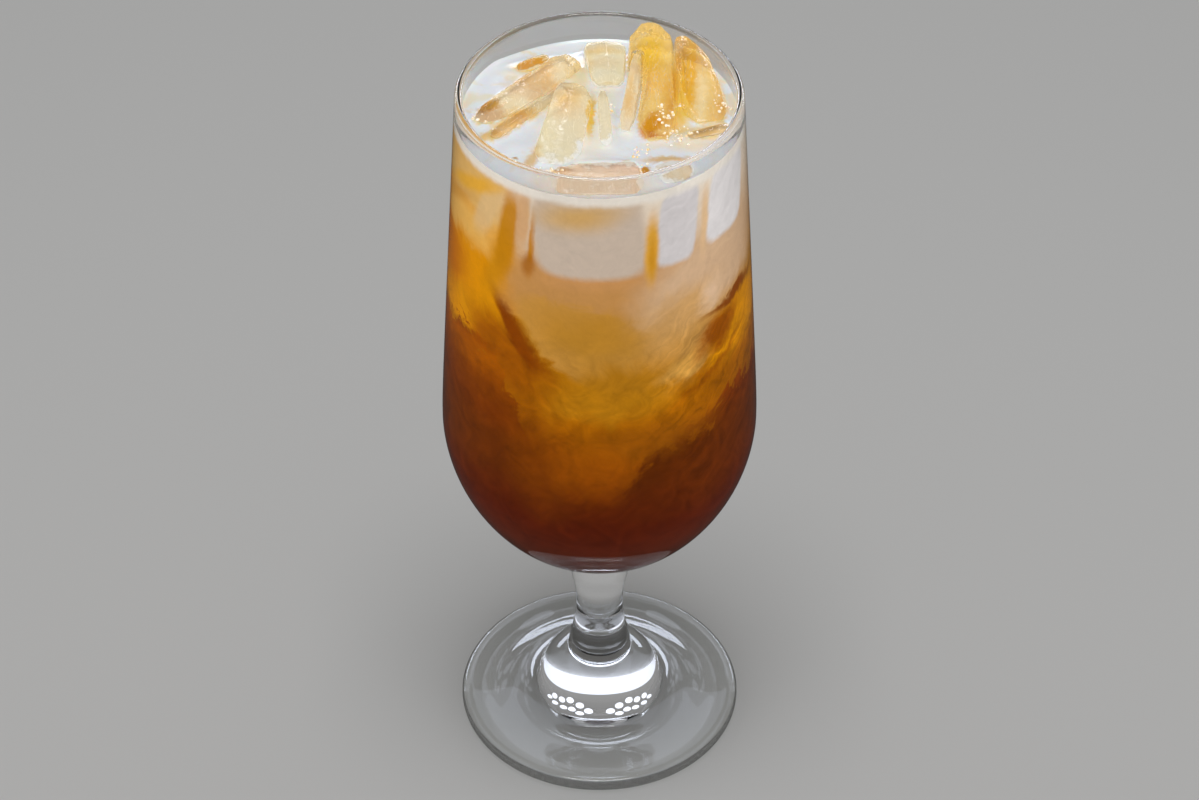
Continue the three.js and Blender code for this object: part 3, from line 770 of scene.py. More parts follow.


# %% [markdown]
# ## The pale top
# Evaporated milk floats on the tea as a soft, wet white, painted slightly blue as a sheen of daylight,
# with warmer cream where tea has mixed in round the ice. It is opaque and glossy. Light goes a little
# way in, so its shadows are soft. Tea stains the top in patches. Each has a name, its middle as (x, y),
# its half size, how far it leans, how soft and how square it is, its colour and its strength, and lies
# on milk and ice.

# %% Stains on the top
STAIN_BEND = 3.5
SWIRL_SIZE = 5 / 3      # of the swirls that bend the stains, in mm
TOP_STAINS = (
    ("cream round the broad face", (-5, -4), (7.5, 13), 0, 0.6, 2.5, "#f4ead0", 0.75),
    ("cream between long bar and back", (-4.6, 14), (2.6, 6.5), 0.15, 0.7, 2.4, "#f2dfae", 0.8),
    ("cream behind the long bar", (-16, 15.4), (5.5, 1.6), 0, 0.7, 2, "#f2dcae", 0.5),
    ("brown grain in the long bar", (-13.4, 10.2), (4.8, 2.4), -0.6, 0.8, 2, "#e2b06c", 0.75),
    ("golden brown in the sliver", (-15, 18.8), (4.4, 2.2), 0, 0.5, 2, "#f8cc60", 0.95),
    ("gold up the broad face", (-7, 3.6), (2.8, 3), 0.2, 0.8, 2, "#f3d294", 0.8),
    ("gold at the head of the back ice", (0.2, 21), (4.5, 1.6), 0, 0.8, 2, "#f3d498", 0.8),
    ("white foot of the ridge", (6.3, -6.6), (1.4, 2.4), 0.1, 0.6, 2, "#f0eee6", 0.85),
    ("gold in the low right piece", (22.6, -7.8), (3.2, 1.3), 0, 0.7, 2, "#f8d894", 0.85),
    ("gold in the ridge", (6.7, 3.4), (1.1, 6), 0.1, 0.7, 2, "#f3cf8c", 0.8),
    ("yellow beside the broad face", (-1.9, -0.4), (0.8, 7.0), 0.05, 0.6, 2.5, "#ecc230", 0.9),
    ("cream in the middle", (1.8, 9), (2.6, 5), 0, 0.8, 2, "#f0e6cc", 0.6),
    ("amber at the foot of the tall ice", (11.6, -5.4), (2.6, 3.2), 0.3, 0.4, 2, "#d68c10", 1.0),
    ("tan round the amber", (12.2, -10.8), (3, 1.3), 0, 0.7, 2, "#ecd2a0", 0.4),
    ("warm milk at the right", (20.4, -11), (4.5, 2.2), 0, 0.8, 2, "#f0dab4", 0.7),
    ("brown at the end of the long bar", (-24, 2), (2.4, 2.2), 0.6, 0.45, 2, "#cc9434", 1.0),
    ("amber patch", (-17.2, -0.4), (3.4, 1.8), 0.4, 0.6, 2, "#f2c56c", 0.9),
    ("amber in the low bar", (-20.4, -3.8), (2.8, 1.8), 0.4, 0.6, 2, "#f8d68c", 0.9),
    ("tan at the end of the low bar", (-24, -8), (3, 1.6), 0.6, 0.6, 2, "#e6bc70", 0.9),
    ("tan corner of the broad face", (-14.6, -16.4), (1.3, 3.6), 0.35, 0.6, 2, "#dcb67a", 0.85),
    ("speck", (-18.1, -15.4), (0.6, 0.4), 0, 0.5, 2, "#b98a4a", 0.9),
    ("tan in front of the broad face", (-9.2, -21.2), (2.6, 1.2), 0, 0.6, 2, "#cc9236", 0.95),
    ("warm cream at the front", (-2, -25), (13, 4), 0, 0.6, 2.5, "#f1dcc0", 0.7),
    ("tan arc at the front right", (14.4, -16.2), (5, 1.2), 0.05, 0.6, 2, "#dcb47c", 0.9),
    ("amber drop at the front", (9.9, -20.3), (1.0, 1.6), 0.2, 0.4, 2, "#cc8c20", 1.0),
    ("amber at the right", (26.4, 2.4), (1.4, 3), -0.1, 0.6, 2, "#dcaa5a", 0.9),
    ("gold under the right slab", (21.6, -5.6), (5, 1.4), 0.1, 0.6, 2, "#eccf90", 0.7),
    ("gold between the slabs", (17.4, 8), (1.6, 14), 0.05, 0.5, 3, "#ecbc5c", 0.9),
    ("yellow in the tall ice", (11.4, 16.4), (3, 6), 0.1, 0.7, 2, "#f7cc30", 0.9),
    ("tan in the tall ice", (15.4, 4), (1.6, 8), 0.1, 0.7, 2, "#ecbc5c", 0.8),
    ("specks at the head of the right slab", (17.4, 18.6), (2, 2.2), 0, 0.6, 2, "#e6cfa4", 0.8),
    ("yellow in the right slab", (19.4, 8), (1.8, 13), 0.1, 0.6, 2, "#f7cc48", 0.9),
    ("pale run in the right slab", (22.3, 7), (1.2, 9), 0.05, 0.7, 2, "#fdf0cc", 0.85),
    ("tan edge of the right slab", (25.2, 3), (1.4, 9), 0.1, 0.7, 2, "#f6d898", 0.85),
)


def stained(tree, colour, place):
    """Lays the stains over a colour, by where they are in plan."""
    swirl = add(tree, "ShaderNodeTexNoise", {"Vector": place, "Scale": 1 / SWIRL_SIZE,
                                             "Detail": 6, "Roughness": 0.65})
    bent = stirred(tree, place, swirl, (STAIN_BEND, STAIN_BEND, 0))
    plan = add(tree, "ShaderNodeSeparateXYZ", (bent,)).outputs
    return lay_patches(tree, colour, TOP_STAINS, plan["X"], plan["Y"])


print("stains on the top:", len(TOP_STAINS))


# %% The top of the drink
CLOUD_SIZE = 50 / 7     # of the warmer clouds in the milk, in mm
SPECK_SIZE = 2


def milk_top():
    """Opaque white with warmer clouds, golden where tea seeps out from the ice."""
    material, tree = blank_material("evaporated milk floating on tea")
    place = place_on_piece(tree)
    clouds = add(tree, "ShaderNodeTexNoise", {"Vector": place, "Scale": 1 / CLOUD_SIZE,
                                              "Detail": 5, "Roughness": 0.55,
                                              "Distortion": 0.8})
    warm = add(tree, "ShaderNodeMapRange", {"Value": clouds, "From Min": 0.54, "From Max": 0.7},
               **SMOOTH)
    # painted reflection: the blue in the cool white stands for a sheen of bluish daylight on the milk
    colour = add(tree, "ShaderNodeMix", {0: warm, 6: linear("#e6eaef"), 7: linear("#e8dec8")},
                 data_type="RGBA").outputs[2]
    specks = add(tree, "ShaderNodeTexNoise", {"Vector": place, "Scale": 1 / SPECK_SIZE,
                                              "Detail": 7, "Roughness": 0.65})
    beside = add(tree, "ShaderNodeAttribute", attribute_name="by_ice").outputs["Fac"]
    seeped = add(tree, "ShaderNodeMath", (beside, specks), operation="MULTIPLY")
    seep = add(tree, "ShaderNodeMapRange", {"Value": seeped, "From Min": 0.3, "From Max": 0.56},
               **SMOOTH)
    golden = lay(tree, colour, seep, "#e9cb8a", 1.0)
    ripple = add(tree, "ShaderNodeBump", {"Height": specks, "Strength": 0.15,
                                          "Distance": 0.4 * MM})
    body = add(tree, "ShaderNodeBsdfPrincipled", {
        "Base Color": stained(tree, golden, place), "Roughness": 0.2, "Normal": ripple,
        "Subsurface Weight": 0.35, "Subsurface Scale": 1.5 * MM})
    add(tree, "ShaderNodeOutputMaterial", {"Surface": body})
    return material


milk = milk_top()
print("made:", milk.name)


# %% [markdown]
# ## Tea held round the ice
# Clear ice has no colour of its own. It shows what lies behind it, and here that is a film of tea and
# milk in the hollow that each piece has melted. So every hollow has its own two colours, mottled by
# noise at the size of the pits in the ice.

# %% One finish for each hollow
HOLLOW_COLOURS = {
    "ice_back": ("#faf6e4", "#f8ecc4"),
    "ice_broad": ("#faf7e4", "#f8efc6"),
    "ice_front": ("#f3ddcc", "#eed0b0"),
    "ice_front_right": ("#f6e4cc", "#eccfa0"),
    "ice_left": ("#fdf7e2", "#f8e6c0"),
    "ice_left_low": ("#fdf6dc", "#f9e8bc"),
    "ice_middle": ("#faf6ec", "#f8f0dc"),
    "ice_ridge": ("#fdf8ea", "#fbecca"),
    "ice_right": ("#fcecb8", "#f8dc88"),
    "ice_right_low": ("#fbecc8", "#f4d898"),
    "ice_sliver": ("#fadf90", "#f5d064"),
    "ice_tall": ("#fdf0b4", "#f9de84"),
}
MOTTLE_SIZE = 50 / 11       # of the mottled tea behind the ice, in mm


def hollow_finish(name, light, deep):
    """The mottled film of milky tea behind one piece of ice."""
    material, tree = blank_material("milky tea film round " + name.replace("_", " "))
    place = place_on_piece(tree)
    mottle = add(tree, "ShaderNodeTexNoise", {"Vector": place, "Scale": 1 / MOTTLE_SIZE,
                                              "Detail": 8, "Roughness": 0.6,
                                              "Distortion": 1.6})
    share = add(tree, "ShaderNodeMapRange", {"Value": mottle, "From Min": 0.36,
                                             "From Max": 0.64}, **SMOOTH)
    film = stained(tree, lay(tree, linear(light), share, deep, 1.0), place)
    body = add(tree, "ShaderNodeBsdfPrincipled", {"Base Color": film, "Roughness": 0.6,
                                                  "Specular IOR Level": 0.0})
    add(tree, "ShaderNodeOutputMaterial", {"Surface": body})
    return material


hollows = {name: hollow_finish(name, *pair) for name, pair in HOLLOW_COLOURS.items()}
print("finishes for hollows:", len(hollows))


# %% [markdown]
# The hollows are cut with a boolean modifier, one for each piece of ice. Each cutter is the piece
# itself, drawn in by a tenth of a millimetre and ended where milk closes under it, and it carries the
# finish of its hollow to the cut faces.

# %% How deep each hollow is
HOLLOW_DEPTH = {"ice_tall": 4.5, "ice_right": 4, "ice_left": 3, "ice_left_low": 2.5,
                "ice_broad": 3, "ice_back": 3, "ice_front": 2.2, "ice_front_right": 2,
                "ice_ridge": 2.6, "ice_sliver": 2, "ice_middle": 1.8, "ice_right_low": 2}
ROOM_REACH, ROOM_TOP = 40, 200
ROOM_SWELL = 3.5      # size of the waves on the underside


def room_above(name, depth):
    """A block with an uneven underside, to leave milk under a piece of ice at that depth."""
    block = bmesh.new()
    bmesh.ops.create_grid(block, x_segments=64, y_segments=64, size=ROOM_REACH * MM)
    for vertex in block.verts:
        swell = noise.noise(vertex.co / MM / ROOM_SWELL + Vector((0, 0, depth)))
        swell *= min(1.5, depth / 3)
        vertex.co.z = (DRINK_LEVEL - depth + swell) * MM
    raised = bmesh.ops.extrude_face_region(block, geom=block.faces[:])["geom"]
    for vertex in [v for v in raised if isinstance(v, bmesh.types.BMVert)]:
        vertex.co.z = ROOM_TOP * MM
    bmesh.ops.recalc_face_normals(block, faces=block.faces[:])
    mesh = bpy.data.meshes.new(name)
    block.to_mesh(mesh)
    block.free()
    return as_object(name, mesh)


print("deepest hollow:", max(HOLLOW_DEPTH.values()), "mm")


# %% Cut the ice out of the drink
TUCK = 0.12
TOP_ZONE = 3          # how far below the level the faces of the top reach


def drop_twin_faces(mesh):
    """Takes out pairs of faces on the same corners, left where a cut only grazes the top."""
    shell = bmesh.new()
    shell.from_mesh(mesh)
    by_corners = {}
    for face in shell.faces:
        by_corners.setdefault(frozenset(c.index for c in face.verts), []).append(face)
    twins = [face for group in by_corners.values() if len(group) > 1 for face in group]
    bmesh.ops.delete(shell, geom=twins, context="FACES")
    shell.to_mesh(mesh)
    shell.free()
    return len(twins)


drink.data.materials.append(behind_glass)
drink.data.materials.append(milk)
for face in drink.data.polygons:
    on_top = face.center.z > (DRINK_LEVEL - TOP_ZONE) * MM and face.normal.z > 0.5
    face.material_index = 1 if on_top else 0
cutters = []
for name, piece in ice.items():
    cutter = piece.copy()
    cutter.data = piece.data.copy()
    bpy.context.scene.collection.objects.link(cutter)
    normals = [Vector(n.vector) for n in piece.data.vertex_normals]
    for vertex, normal in zip(cutter.data.vertices, normals):
        vertex.co -= normal * TUCK * MM
    cutter.data.materials.clear()
    cutter.data.materials.append(hollows[name])
    block = room_above(name + "_room", HOLLOW_DEPTH[name])
    block.data.materials.append(hollows[name])
    meet = cutter.modifiers.new("room", "BOOLEAN")
    meet.operation, meet.solver, meet.object = "INTERSECT", "MANIFOLD", block
    cutter = evaluated(cutter, name + "_hollow")
    bpy.data.objects.remove(block)
    cut = drink.modifiers.new(name, "BOOLEAN")
    cut.operation, cut.solver, cut.object = "DIFFERENCE", "MANIFOLD", cutter
    cut.material_mode = "TRANSFER"
    cutters.append(cutter)
drink = evaluated(drink, "tea_milk_and_cream")
print("faces on the same corners taken out:", drop_twin_faces(drink.data))
for cutter in cutters:
    mesh = cutter.data
    bpy.data.objects.remove(cutter)
    bpy.data.meshes.remove(mesh)
print("drink faces:", len(drink.data.polygons), "finishes:", len(drink.data.materials))


# %% Mark how near the ice the milk lies, and its creases
SEEP_REACH = 1.8      # tea colours the milk this far out from the ice
CREASE = 35           # an angle in degrees at which two faces meet sharply
TEA_SOAKED = ("ice_tall", "ice_right", "ice_sliver")
MILKY = ("ice_back", "ice_broad", "ice_front", "ice_front_right", "ice_middle", "ice_ridge")

colouring_trees = [tree for name, tree in ice_trees.items() if name not in MILKY]
beside_ice = drink.data.attributes.new("by_ice", "FLOAT", "POINT")
for vertex in drink.data.vertices:
    if vertex.co.z > (DRINK_LEVEL - TOP_ZONE) * MM:
        away = min(tree.find_nearest(vertex.co)[3] for tree in colouring_trees) / MM
        beside_ice.data[vertex.index].value = math.exp(-away / SEEP_REACH)
drink.data.shade_smooth()
drink.data.set_sharp_from_angle(angle=math.radians(CREASE))
print("pieces that colour the milk:", len(colouring_trees))


# %% [markdown]
# ## Clear ice
# Ice bends light less than glass does, with an index of 1.31. Wet broken ice is clear at its skin and
# has faint frost in patches, so its roughness varies. Its sharp edges are painted white in places as
# highlights, fine white veins run through it, and milk laps up it a little way. Tea stains it as it
# stains the milk. A lamp's light has to reach the hollow behind it, and refraction would leave that to
# chance, so rays from lamps and rays that light the drink pass straight through.

# %% Clear bodies that are open to lamps
ICE_IOR, GLASS_IOR, WATER_IOR = 1.31, 1.52, 1.33


def lets_lamps_through(tree, clear, tint):
    """Clear body for the eye, open to lamps and to the light that falls on what is behind it."""
    path = add(tree, "ShaderNodeLightPath")
    opening = add(tree, "ShaderNodeBsdfTransparent", {"Color": linear(tint)})
    for ray in ("Is Shadow Ray", "Is Diffuse Ray"):
        clear = add(tree, "ShaderNodeMixShader", {0: path.outputs[ray], 1: clear, 2: opening})
    add(tree, "ShaderNodeOutputMaterial", {"Surface": clear})


print("light leaves ice at up to", round(math.degrees(math.asin(1 / ICE_IOR))), "degrees")


# %% Wet ice
FILM_UNEVEN = 2.6       # how unevenly, in mm, the milk laps up the ice
FILM_FADE = 0.7
FROST_SIZE = 10 / 3     # sizes of the patterns in the ice, in mm
RIPPLE_SIZE = 20 / 9
PATCH_SIZE = 20 / 3     # of the patches in which sharp edges are painted white as highlights
VEIN_SIZE = 4 / 3
VEIN_DRAWN = (1.0, 0.22, 0.5)   # how the veins are drawn out along the ice


def wet_ice(name, tint, lapped, haze, edge_highlight_strength, lap):
    """Clear at the skin, painted white in patches along sharp edges as highlights, with milk lapping up
    it from the drink.
    """
    material, tree = blank_material(name)
    place = place_on_piece(tree)
    frost = add(tree, "ShaderNodeTexNoise", {"Vector": place, "Scale": 1 / FROST_SIZE,
                                             "Detail": 6, "Roughness": 0.6})
    rough = add(tree, "ShaderNodeMapRange", {"Value": frost, "From Min": 0.5, "From Max": 0.72,
                                             "To Min": 0.0, "To Max": 0.22})
    ripple = add(tree, "ShaderNodeTexNoise", {"Vector": place, "Scale": 1 / RIPPLE_SIZE,
                                              "Detail": 3, "Distortion": 1.2})
    skin = add(tree, "ShaderNodeBump", {"Height": ripple, "Strength": 0.35,
                                        "Distance": 0.5 * MM})
    edge = add(tree, "ShaderNodeAttribute", attribute_name="edge").outputs["Fac"]
    patches = add(tree, "ShaderNodeTexNoise", {"Vector": place, "Scale": 1 / PATCH_SIZE,
                                               "Detail": 3})
    patchy = add(tree, "ShaderNodeMapRange", {"Value": patches, "From Min": 0.44,
                                              "From Max": 0.6})
    rippled_edge = add(tree, "ShaderNodeMath", (edge, ripple), operation="MULTIPLY")
    gated = add(tree, "ShaderNodeMath", (rippled_edge, patchy), operation="MULTIPLY")
    # painted highlight: sharp edges are painted white in patches, as lines of light along them
    painted_edge_highlight = add(tree, "ShaderNodeMapRange", {"Value": gated, "From Min": 0.12,
                                                  "From Max": 0.42, "To Max": edge_highlight_strength})
    drawn_out = add(tree, "ShaderNodeVectorMath", (place, VEIN_DRAWN), operation="MULTIPLY")
    bands = add(tree, "ShaderNodeTexNoise", {"Vector": drawn_out, "Scale": 1 / VEIN_SIZE,
                                             "Detail": 3, "Distortion": 0.6})
    off_centre = add(tree, "ShaderNodeMath", (bands, 0.5), operation="SUBTRACT")
    distance = add(tree, "ShaderNodeMath", (off_centre,), operation="ABSOLUTE")
    vein = add(tree, "ShaderNodeMapRange", {"Value": distance, "From Min": 0.022, "From Max": 0.0,
                                            "To Max": 0.5})
    veins_and_edge_highlights = add(tree, "ShaderNodeMath", (painted_edge_highlight, vein), operation="MAXIMUM")
    up = add(tree, "ShaderNodeSeparateXYZ", (place,)).outputs["Z"]
    lifted = add(tree, "ShaderNodeMath", (frost, FILM_UNEVEN, up), operation="MULTIPLY_ADD")
    film_top = DRINK_LEVEL + FILM_UNEVEN / 2 + lap
    film = add(tree, "ShaderNodeMapRange", {"Value": lifted, "From Min": film_top,
                                            "From Max": film_top - FILM_FADE}, **SMOOTH)
    hazy = add(tree, "ShaderNodeMath", (veins_and_edge_highlights, haze), operation="MAXIMUM")
    opaque = add(tree, "ShaderNodeMath", (hazy, film), operation="MAXIMUM")
    open_share = add(tree, "ShaderNodeMath", (1.0, opaque), operation="SUBTRACT")
    # the cream white laid here marks real veins and painted edge highlights together
    tint_with_veins_and_highlights = lay(tree, stained(tree, linear(tint), place), veins_and_edge_highlights, "#fff4dc", 1.0)
    clear = add(tree, "ShaderNodeBsdfPrincipled", {
        "Base Color": lay(tree, tint_with_veins_and_highlights, film, lapped, 1.0), "Roughness": rough,
        "IOR": ICE_IOR, "Transmission Weight": open_share, "Normal": skin})
    lets_lamps_through(tree, clear, "#f6f4ee")
    return material


print("milk laps up to", FILM_UNEVEN / 2, "mm higher in places")


# %% Pressed glass
WAVE_SIZE = 20      # of the faint waves in its skin, in mm


def soda_lime_glass():
    """Clear glass from a mould, whose skin has faint waves that bend its highlights."""
    material, tree = blank_material("pressed soda-lime glass")
    ripple = add(tree, "ShaderNodeTexNoise", {"Vector": place_on_piece(tree),
                                              "Scale": 1 / WAVE_SIZE, "Detail": 2})
    skin = add(tree, "ShaderNodeBump", {"Height": ripple, "Strength": 0.2,
                                        "Distance": 0.25 * MM})
    clear = add(tree, "ShaderNodeBsdfPrincipled", {
        "Base Color": linear("#fdfdfd"), "Roughness": 0.0, "IOR": GLASS_IOR,
        "Transmission Weight": 1.0, "Normal": skin})
    lets_lamps_through(tree, clear, "#f4f5f4")
    return material


glass.data.materials.append(soda_lime_glass())
print("finish of the glass:", glass.data.materials[0].name)


# %% Dress the ice
# each ice sets how white its painted edge highlights get
clear_ice = wet_ice("clear wet ice", "#fbf1d6", "#e6dcc4", haze=0.28, edge_highlight_strength=0.5, lap=0.5)
amber_ice = wet_ice("wet ice with tea soaked in", "#f9dfa0", "#e8dcc0", haze=0.25,
                    edge_highlight_strength=0.6, lap=0.5)
milky_ice = wet_ice("ice level with the milk", "#f4f0dc", "#e4e3de", haze=0.35, edge_highlight_strength=0.4,
                    lap=1.15)
front_ice = wet_ice("ice at the front wall", "#f4e2d2", "#e6d9c8", haze=0.4, edge_highlight_strength=0.4,
                    lap=0.9)
for name, piece in ice.items():
    finish = amber_ice if name in TEA_SOAKED else milky_ice if name in MILKY else clear_ice
    finish = front_ice if name == "ice_front" else finish
    piece.data.materials.clear()
    piece.data.materials.append(finish)
print("finish of each piece:", {n: piece.data.materials[0].name for n, piece in ice.items()})


# %% [markdown]
# ## Bubbles and drops
# Small bubbles and drops gather where ice meets milk and along the wall. They are scattered by
# Geometry Nodes over the top faces of the drink and the ice, thick where a mark on the surface is high.
# One round bead with few faces is enough for all of them.

# %% Where the bubbles gather
GROUND_SLOPE, GROUND_DEPTH = 0.35, 2.5      # beads lie on faces this level and this near the top
BARE = 0.1      # a share of froth below this leaves the surface bare
FROTH = (
    ("foot of the right slab", (17.2, -7.6), 3.2), ("foot of the tall ice", (13.6, -3), 2.6),
    ("front of the tall ice", (8.6, -13), 1.8), ("front drop", (9.6, -19.6), 1.5),
    ("front left corner", (-10.6, -21.4), 1.8), ("right wall", (27, 2.4), 2),
    ("back of the slabs", (18, 23), 2), ("head of the long bar", (-6.4, 17.6), 1.8),
    ("middle", (2.6, 2), 1.6), ("end of the long bar", (-25.6, -1.4), 1.4),
    ("between the slabs", (17.8, 4), 1.6),
)


def scatter_ground():
    """The upward faces near the top, with the share of bubbles marked on their corners."""
    corners, faces, marks = [], [], []
    for source in [drink] + list(ice.values()):
        mesh = source.data
        used = {}
        for face in mesh.polygons:
            if face.normal.z < GROUND_SLOPE or face.center.z < (DRINK_LEVEL - GROUND_DEPTH) * MM:
                continue
            if face.material_index > 1:
                continue
            for i in face.vertices:
                if i not in used:
                    used[i] = len(corners)
                    corners.append(mesh.vertices[i].co.copy())
            faces.append([used[i] for i in face.vertices])
    for corner in corners:
        x, y = corner.x / MM, corner.y / MM
        thick = max(math.exp(-((x - mx) ** 2 + (y - my) ** 2) / reach ** 2)
                    for _, (mx, my), reach in FROTH)
        marks.append(max(0, thick - BARE))
    ground = bpy.data.meshes.new("ground for bubbles")
    ground.from_pydata(corners, [], faces)
    froth = ground.attributes.new("froth", "FLOAT", "POINT")
    for i, mark in enumerate(marks):
        froth.data[i].value = mark
    return as_object("ground for bubbles", ground)


ground = scatter_ground()
print("faces that may hold bubbles:", len(ground.data.polygons))


# %% Scatter the beads
def bead_scatter():
    """A node tree that puts round beads on marked faces."""
    tree = bpy.data.node_groups.new("beads on the top", "GeometryNodeTree")
    face = tree.interface
    face.new_socket("Ground", in_out="INPUT", socket_type="NodeSocketGeometry")
    for label in ("Smallest radius", "Largest radius", "Beads per square metre"):
        face.new_socket(label, in_out="INPUT", socket_type="NodeSocketFloat")
    face.new_socket("Finish", in_out="INPUT", socket_type="NodeSocketMaterial")
    face.new_socket("Beads", in_out="OUTPUT", socket_type="NodeSocketGeometry")
    given = add(tree, "NodeGroupInput").outputs
    mark = add(tree, "GeometryNodeInputNamedAttribute", {"Name": "froth"}, data_type="FLOAT")
    density = add(tree, "ShaderNodeMath", (mark, given["Beads per square metre"]),
                  operation="MULTIPLY")
    points = add(tree, "GeometryNodeDistributePointsOnFaces", {
        "Mesh": given["Ground"], "Density": density, "Seed": 5}).outputs["Points"]
    bead = add(tree, "GeometryNodeMeshIcoSphere", {"Radius": 1.0, "Subdivisions": 2})
    radius = add(tree, "FunctionNodeRandomValue", {2: given["Smallest radius"],
                                                   3: given["Largest radius"], "Seed": 9},
                 data_type="FLOAT").outputs[1]
    placed = add(tree, "GeometryNodeInstanceOnPoints", {"Points": points, "Instance": bead,
                                                        "Scale": radius})
    loose = add(tree, "GeometryNodeRealizeInstances", (placed,))
    dressed = add(tree, "GeometryNodeSetMaterial", {"Geometry": loose,
                                                    "Material": given["Finish"]})
    add(tree, "NodeGroupOutput", {"Beads": dressed})
    return tree


TINT_SIZE = 5 / 6       # of the runs of tea among the beads, in mm


def water_bead():
    """Bubbles and drops, mostly bright skin: some clear white, some with tea in them."""
    material, tree = blank_material("water drops and bubbles")
    mixed = add(tree, "ShaderNodeTexNoise", {"Vector": place_on_piece(tree),
                                             "Scale": 1 / TINT_SIZE, "Detail": 2})
    share = add(tree, "ShaderNodeMapRange", {"Value": mixed, "From Min": 0.42, "From Max": 0.6})
    clear = add(tree, "ShaderNodeBsdfPrincipled", {
        "Base Color": lay(tree, linear("#fffaf0"), share, "#f8d898", 1.0), "Roughness": 0.03,
        "IOR": WATER_IOR, "Transmission Weight": 0.12, "Coat Weight": 1.0})
    lets_lamps_through(tree, clear, "#f6f4ee")
    return material


scatter = ground.modifiers.new("beads", "NODES")
scatter.node_group = bead_scatter()
sizes_in = {"Smallest radius": 0.1 * MM, "Largest radius": 0.42 * MM,
            "Beads per square metre": 1.6e6, "Finish": water_bead()}
for item in scatter.node_group.interface.items_tree:
    if item.item_type == "SOCKET" and item.name in sizes_in:
        scatter[item.identifier] = sizes_in[item.name]
beads = evaluated(ground, "bubbles_and_drops")
beads.data.shade_smooth()
print("faces of all beads:", len(beads.data.polygons))


# %% [markdown]
# ## Riding and replacing
# Nothing here moves on its own, so every piece rides on the one body. The packed solids that the
# pieces stand for are hidden, so they aren't drawn.

# %% Ride on the body and hide the packed solids
for piece, nodes, slot in [(glass, ["glass"], "clear_glass"),
                           (drink, ["tea", "milky_tea", "cream"], "milky_tea")]:
    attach(piece, "root")
    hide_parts(*nodes)
for name, piece in ice.items():
    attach(piece, "root")
    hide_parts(name)
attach(beads, "root")
print("pieces:", 3 + len(ice))


# %% [markdown]
# ## Studio
# A plain pale floor and soft light. A softbox overhead lights the pale top, and three in front and at
# the sides light the wall of the bowl evenly. Those three fall on the drink and the ice alone, so that
# the glass has no boxes mirrored in it, and a small window behind adds glints to the wet ice. A round
# skylight, a low window and small panes behind fall on the glass alone: they draw the broad bright
# band and the groups of small marks on the knob. The floor looks darker in mirrored light and a
# little darker through the glass, as the dark room does in the photo.

# %% The floor
FLOOR_REACH = 2.5       # metres, as all places in the studio are


def matt(tree, hex_colour):
    """A matt surface of one colour."""
    return add(tree, "ShaderNodeBsdfPrincipled", {"Base Color": linear(hex_colour),
                                                  "Roughness": 0.8})


def pale_floor():
    """A pale sheet, with a painted dark reflection where the glass mirrors it or shows it bent."""
    mesh = bpy.data.meshes.new("floor")
    corners = [(x * FLOOR_REACH, y * FLOOR_REACH, 0) for x, y in ((-1, -1), (1, -1), (1, 1),
                                                                  (-1, 1))]
    mesh.from_pydata(corners, [], [(0, 1, 2, 3)])
    material, tree = blank_material("pale matt floor")
    path = add(tree, "ShaderNodeLightPath").outputs
    # painted reflection: dark grey when seen by a mirrored ray, lighter grey when that ray has also
    # passed through glass
    painted_reflection = add(tree, "ShaderNodeMixShader", (path["Transmission Depth"], matt(tree, "#403f3e"),
                                               matt(tree, "#9a9997")))
    either = add(tree, "ShaderNodeMixShader", (path["Glossy Depth"], matt(tree, "#d2d2d1"),
                                               painted_reflection))
    add(tree, "ShaderNodeOutputMaterial", {"Surface": either})
    mesh.materials.append(material)
    return as_object("floor", mesh)


pale_floor()
print("floor:", 2 * FLOOR_REACH, "metres wide")


# %% Lamps
FRONT_BOXES = ((180, 5.1), (110, 9.8), (-110, 9.8))     # turn from the back, and power in watts
PANES = ((8, 35), (14, 32), (15, 38), (21, 34), (24, 40), (28, 33), (32, 38.5), (37, 33),
         (41, 38.5), (46, 35))                          # turn to either side, and rise
MIDDLE = (0, 0, 0.12)
DAYLIGHT = "#e4edff"


def softbox(name, place, aim, width, height, power, colour="#ffffff", shape="RECTANGLE"):
    """A flat lamp that looks at a point."""
    data = bpy.data.lights.new(name, "AREA")
    data.shape, data.size, data.size_y = shape, width, height
    data.energy = power
    data.color = linear(colour)[:3]
    lamp = as_object(name, data)
    lamp.location = place
    lamp.rotation_euler = (Vector(aim) - Vector(place)).to_track_quat("-Z", "Y").to_euler()
    return lamp


def fall_on(name, lamps, pieces):
    """Lets lamps light some pieces alone."""
    chosen = bpy.data.collections.new(name)
    for piece in pieces:
        chosen.objects.link(piece)
    for lamp in lamps:
        lamp.light_linking.receiver_collection = chosen


def towards(turn, rise, far):
    """A place at an angle from the back, to the right, and above the floor, in metres."""
    turn, rise = math.radians(turn), math.radians(rise)
    return (far * math.sin(turn) * math.cos(rise), far * math.cos(turn) * math.cos(rise),
            far * math.sin(rise))


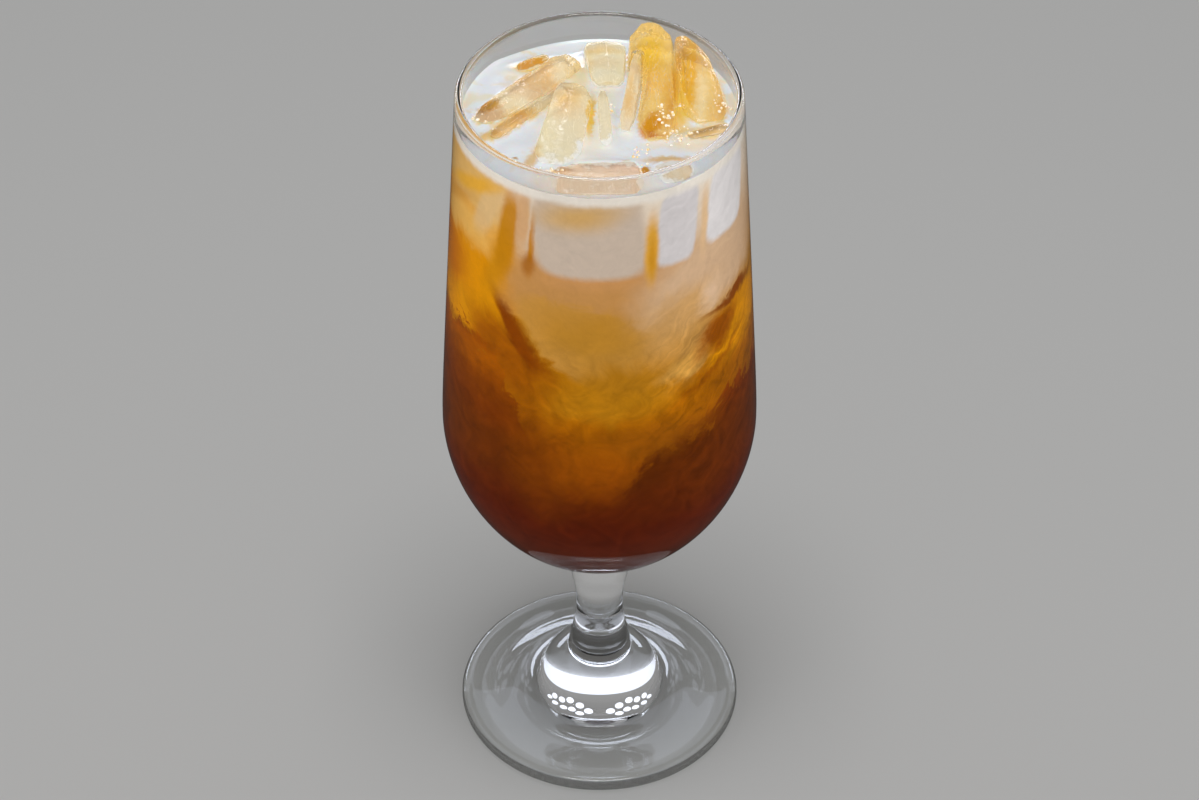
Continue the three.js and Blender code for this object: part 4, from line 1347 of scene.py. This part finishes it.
softbox("overhead softbox", (0, -0.12, 1.25), (0, 0, 0.1), 0.5, 0.4, 5.1)
front = [softbox("front softbox", towards(turn, 17, 1.3), MIDDLE, 0.6, 0.5, power, "#fffaf5")
         for turn, power in FRONT_BOXES]
fall_on("lit from the front", front, [drink, beads] + list(ice.values()))
glint = softbox("small window for glints", towards(0, 47, 1.4), (0, 0, 0.18), 0.12, 0.12, 0.6,
                "#f4f7ff")
fall_on("ice that glints", [glint], [beads] + list(ice.values()))
windows = [softbox("skylight", (0, 0, 1.2), (0, 0, 0), 2.35, 2.35, 14, DAYLIGHT, "DISK"),
           softbox("low window", towards(0, 20, 1.4), (0, 0, 0), 2.4, 0.28, 17, DAYLIGHT)]
for turn, rise in PANES:
    for side in (-1, 1):
        windows.append(softbox("window pane", towards(side * turn, rise, 1.5), (0, 0, 0), 0.14,
                               0.1, 0.052, "#e9f0ff", "ELLIPSE"))
fall_on("glass that mirrors the windows", windows, [glass])
print("lamps:", 2 + len(front) + len(windows))


# %% The air of the studio
CEILING_FROM, CEILING_TO = 0.45, 0.95       # the air is brighter towards the ceiling
DIM, BRIGHT = 0.24, 0.4

world = bpy.data.worlds.new("studio air")
world.use_nodes = True
air = world.node_tree
air.nodes.clear()
facing = add(air, "ShaderNodeTexCoord").outputs["Generated"]
rise = add(air, "ShaderNodeSeparateXYZ", (facing,)).outputs["Z"]
ceiling = add(air, "ShaderNodeMapRange", (rise, CEILING_FROM, CEILING_TO, DIM, BRIGHT), **SMOOTH)
sky = add(air, "ShaderNodeBackground", {"Color": linear("#ffffff"), "Strength": ceiling})
add(air, "ShaderNodeOutputWorld", {"Surface": sky})
bpy.context.scene.world = world
bpy.context.scene.view_settings.view_transform = "Standard"
print("air:", DIM, "at the sides and", BRIGHT, "overhead")


# %% The camera
PHOTO_WIDTH = 1199          # pixels
FOCAL_LENGTH = 3467.48      # pixels, solved together with the outline of the glass in the photo
SENSOR = 36
CAMERA_PLACE = (0, -0.61401, 0.62904)
CAMERA_DROP = 40.8835       # degrees that the camera looks down

camera_data = bpy.data.cameras.new("camera")
camera_data.sensor_width = SENSOR
camera_data.lens = FOCAL_LENGTH / PHOTO_WIDTH * SENSOR
camera = as_object("camera", camera_data)
camera.location = CAMERA_PLACE
camera.rotation_euler = (math.radians(90 - CAMERA_DROP), 0, 0)
bpy.context.scene.camera = camera
print("lens:", round(camera_data.lens, 2), "mm")
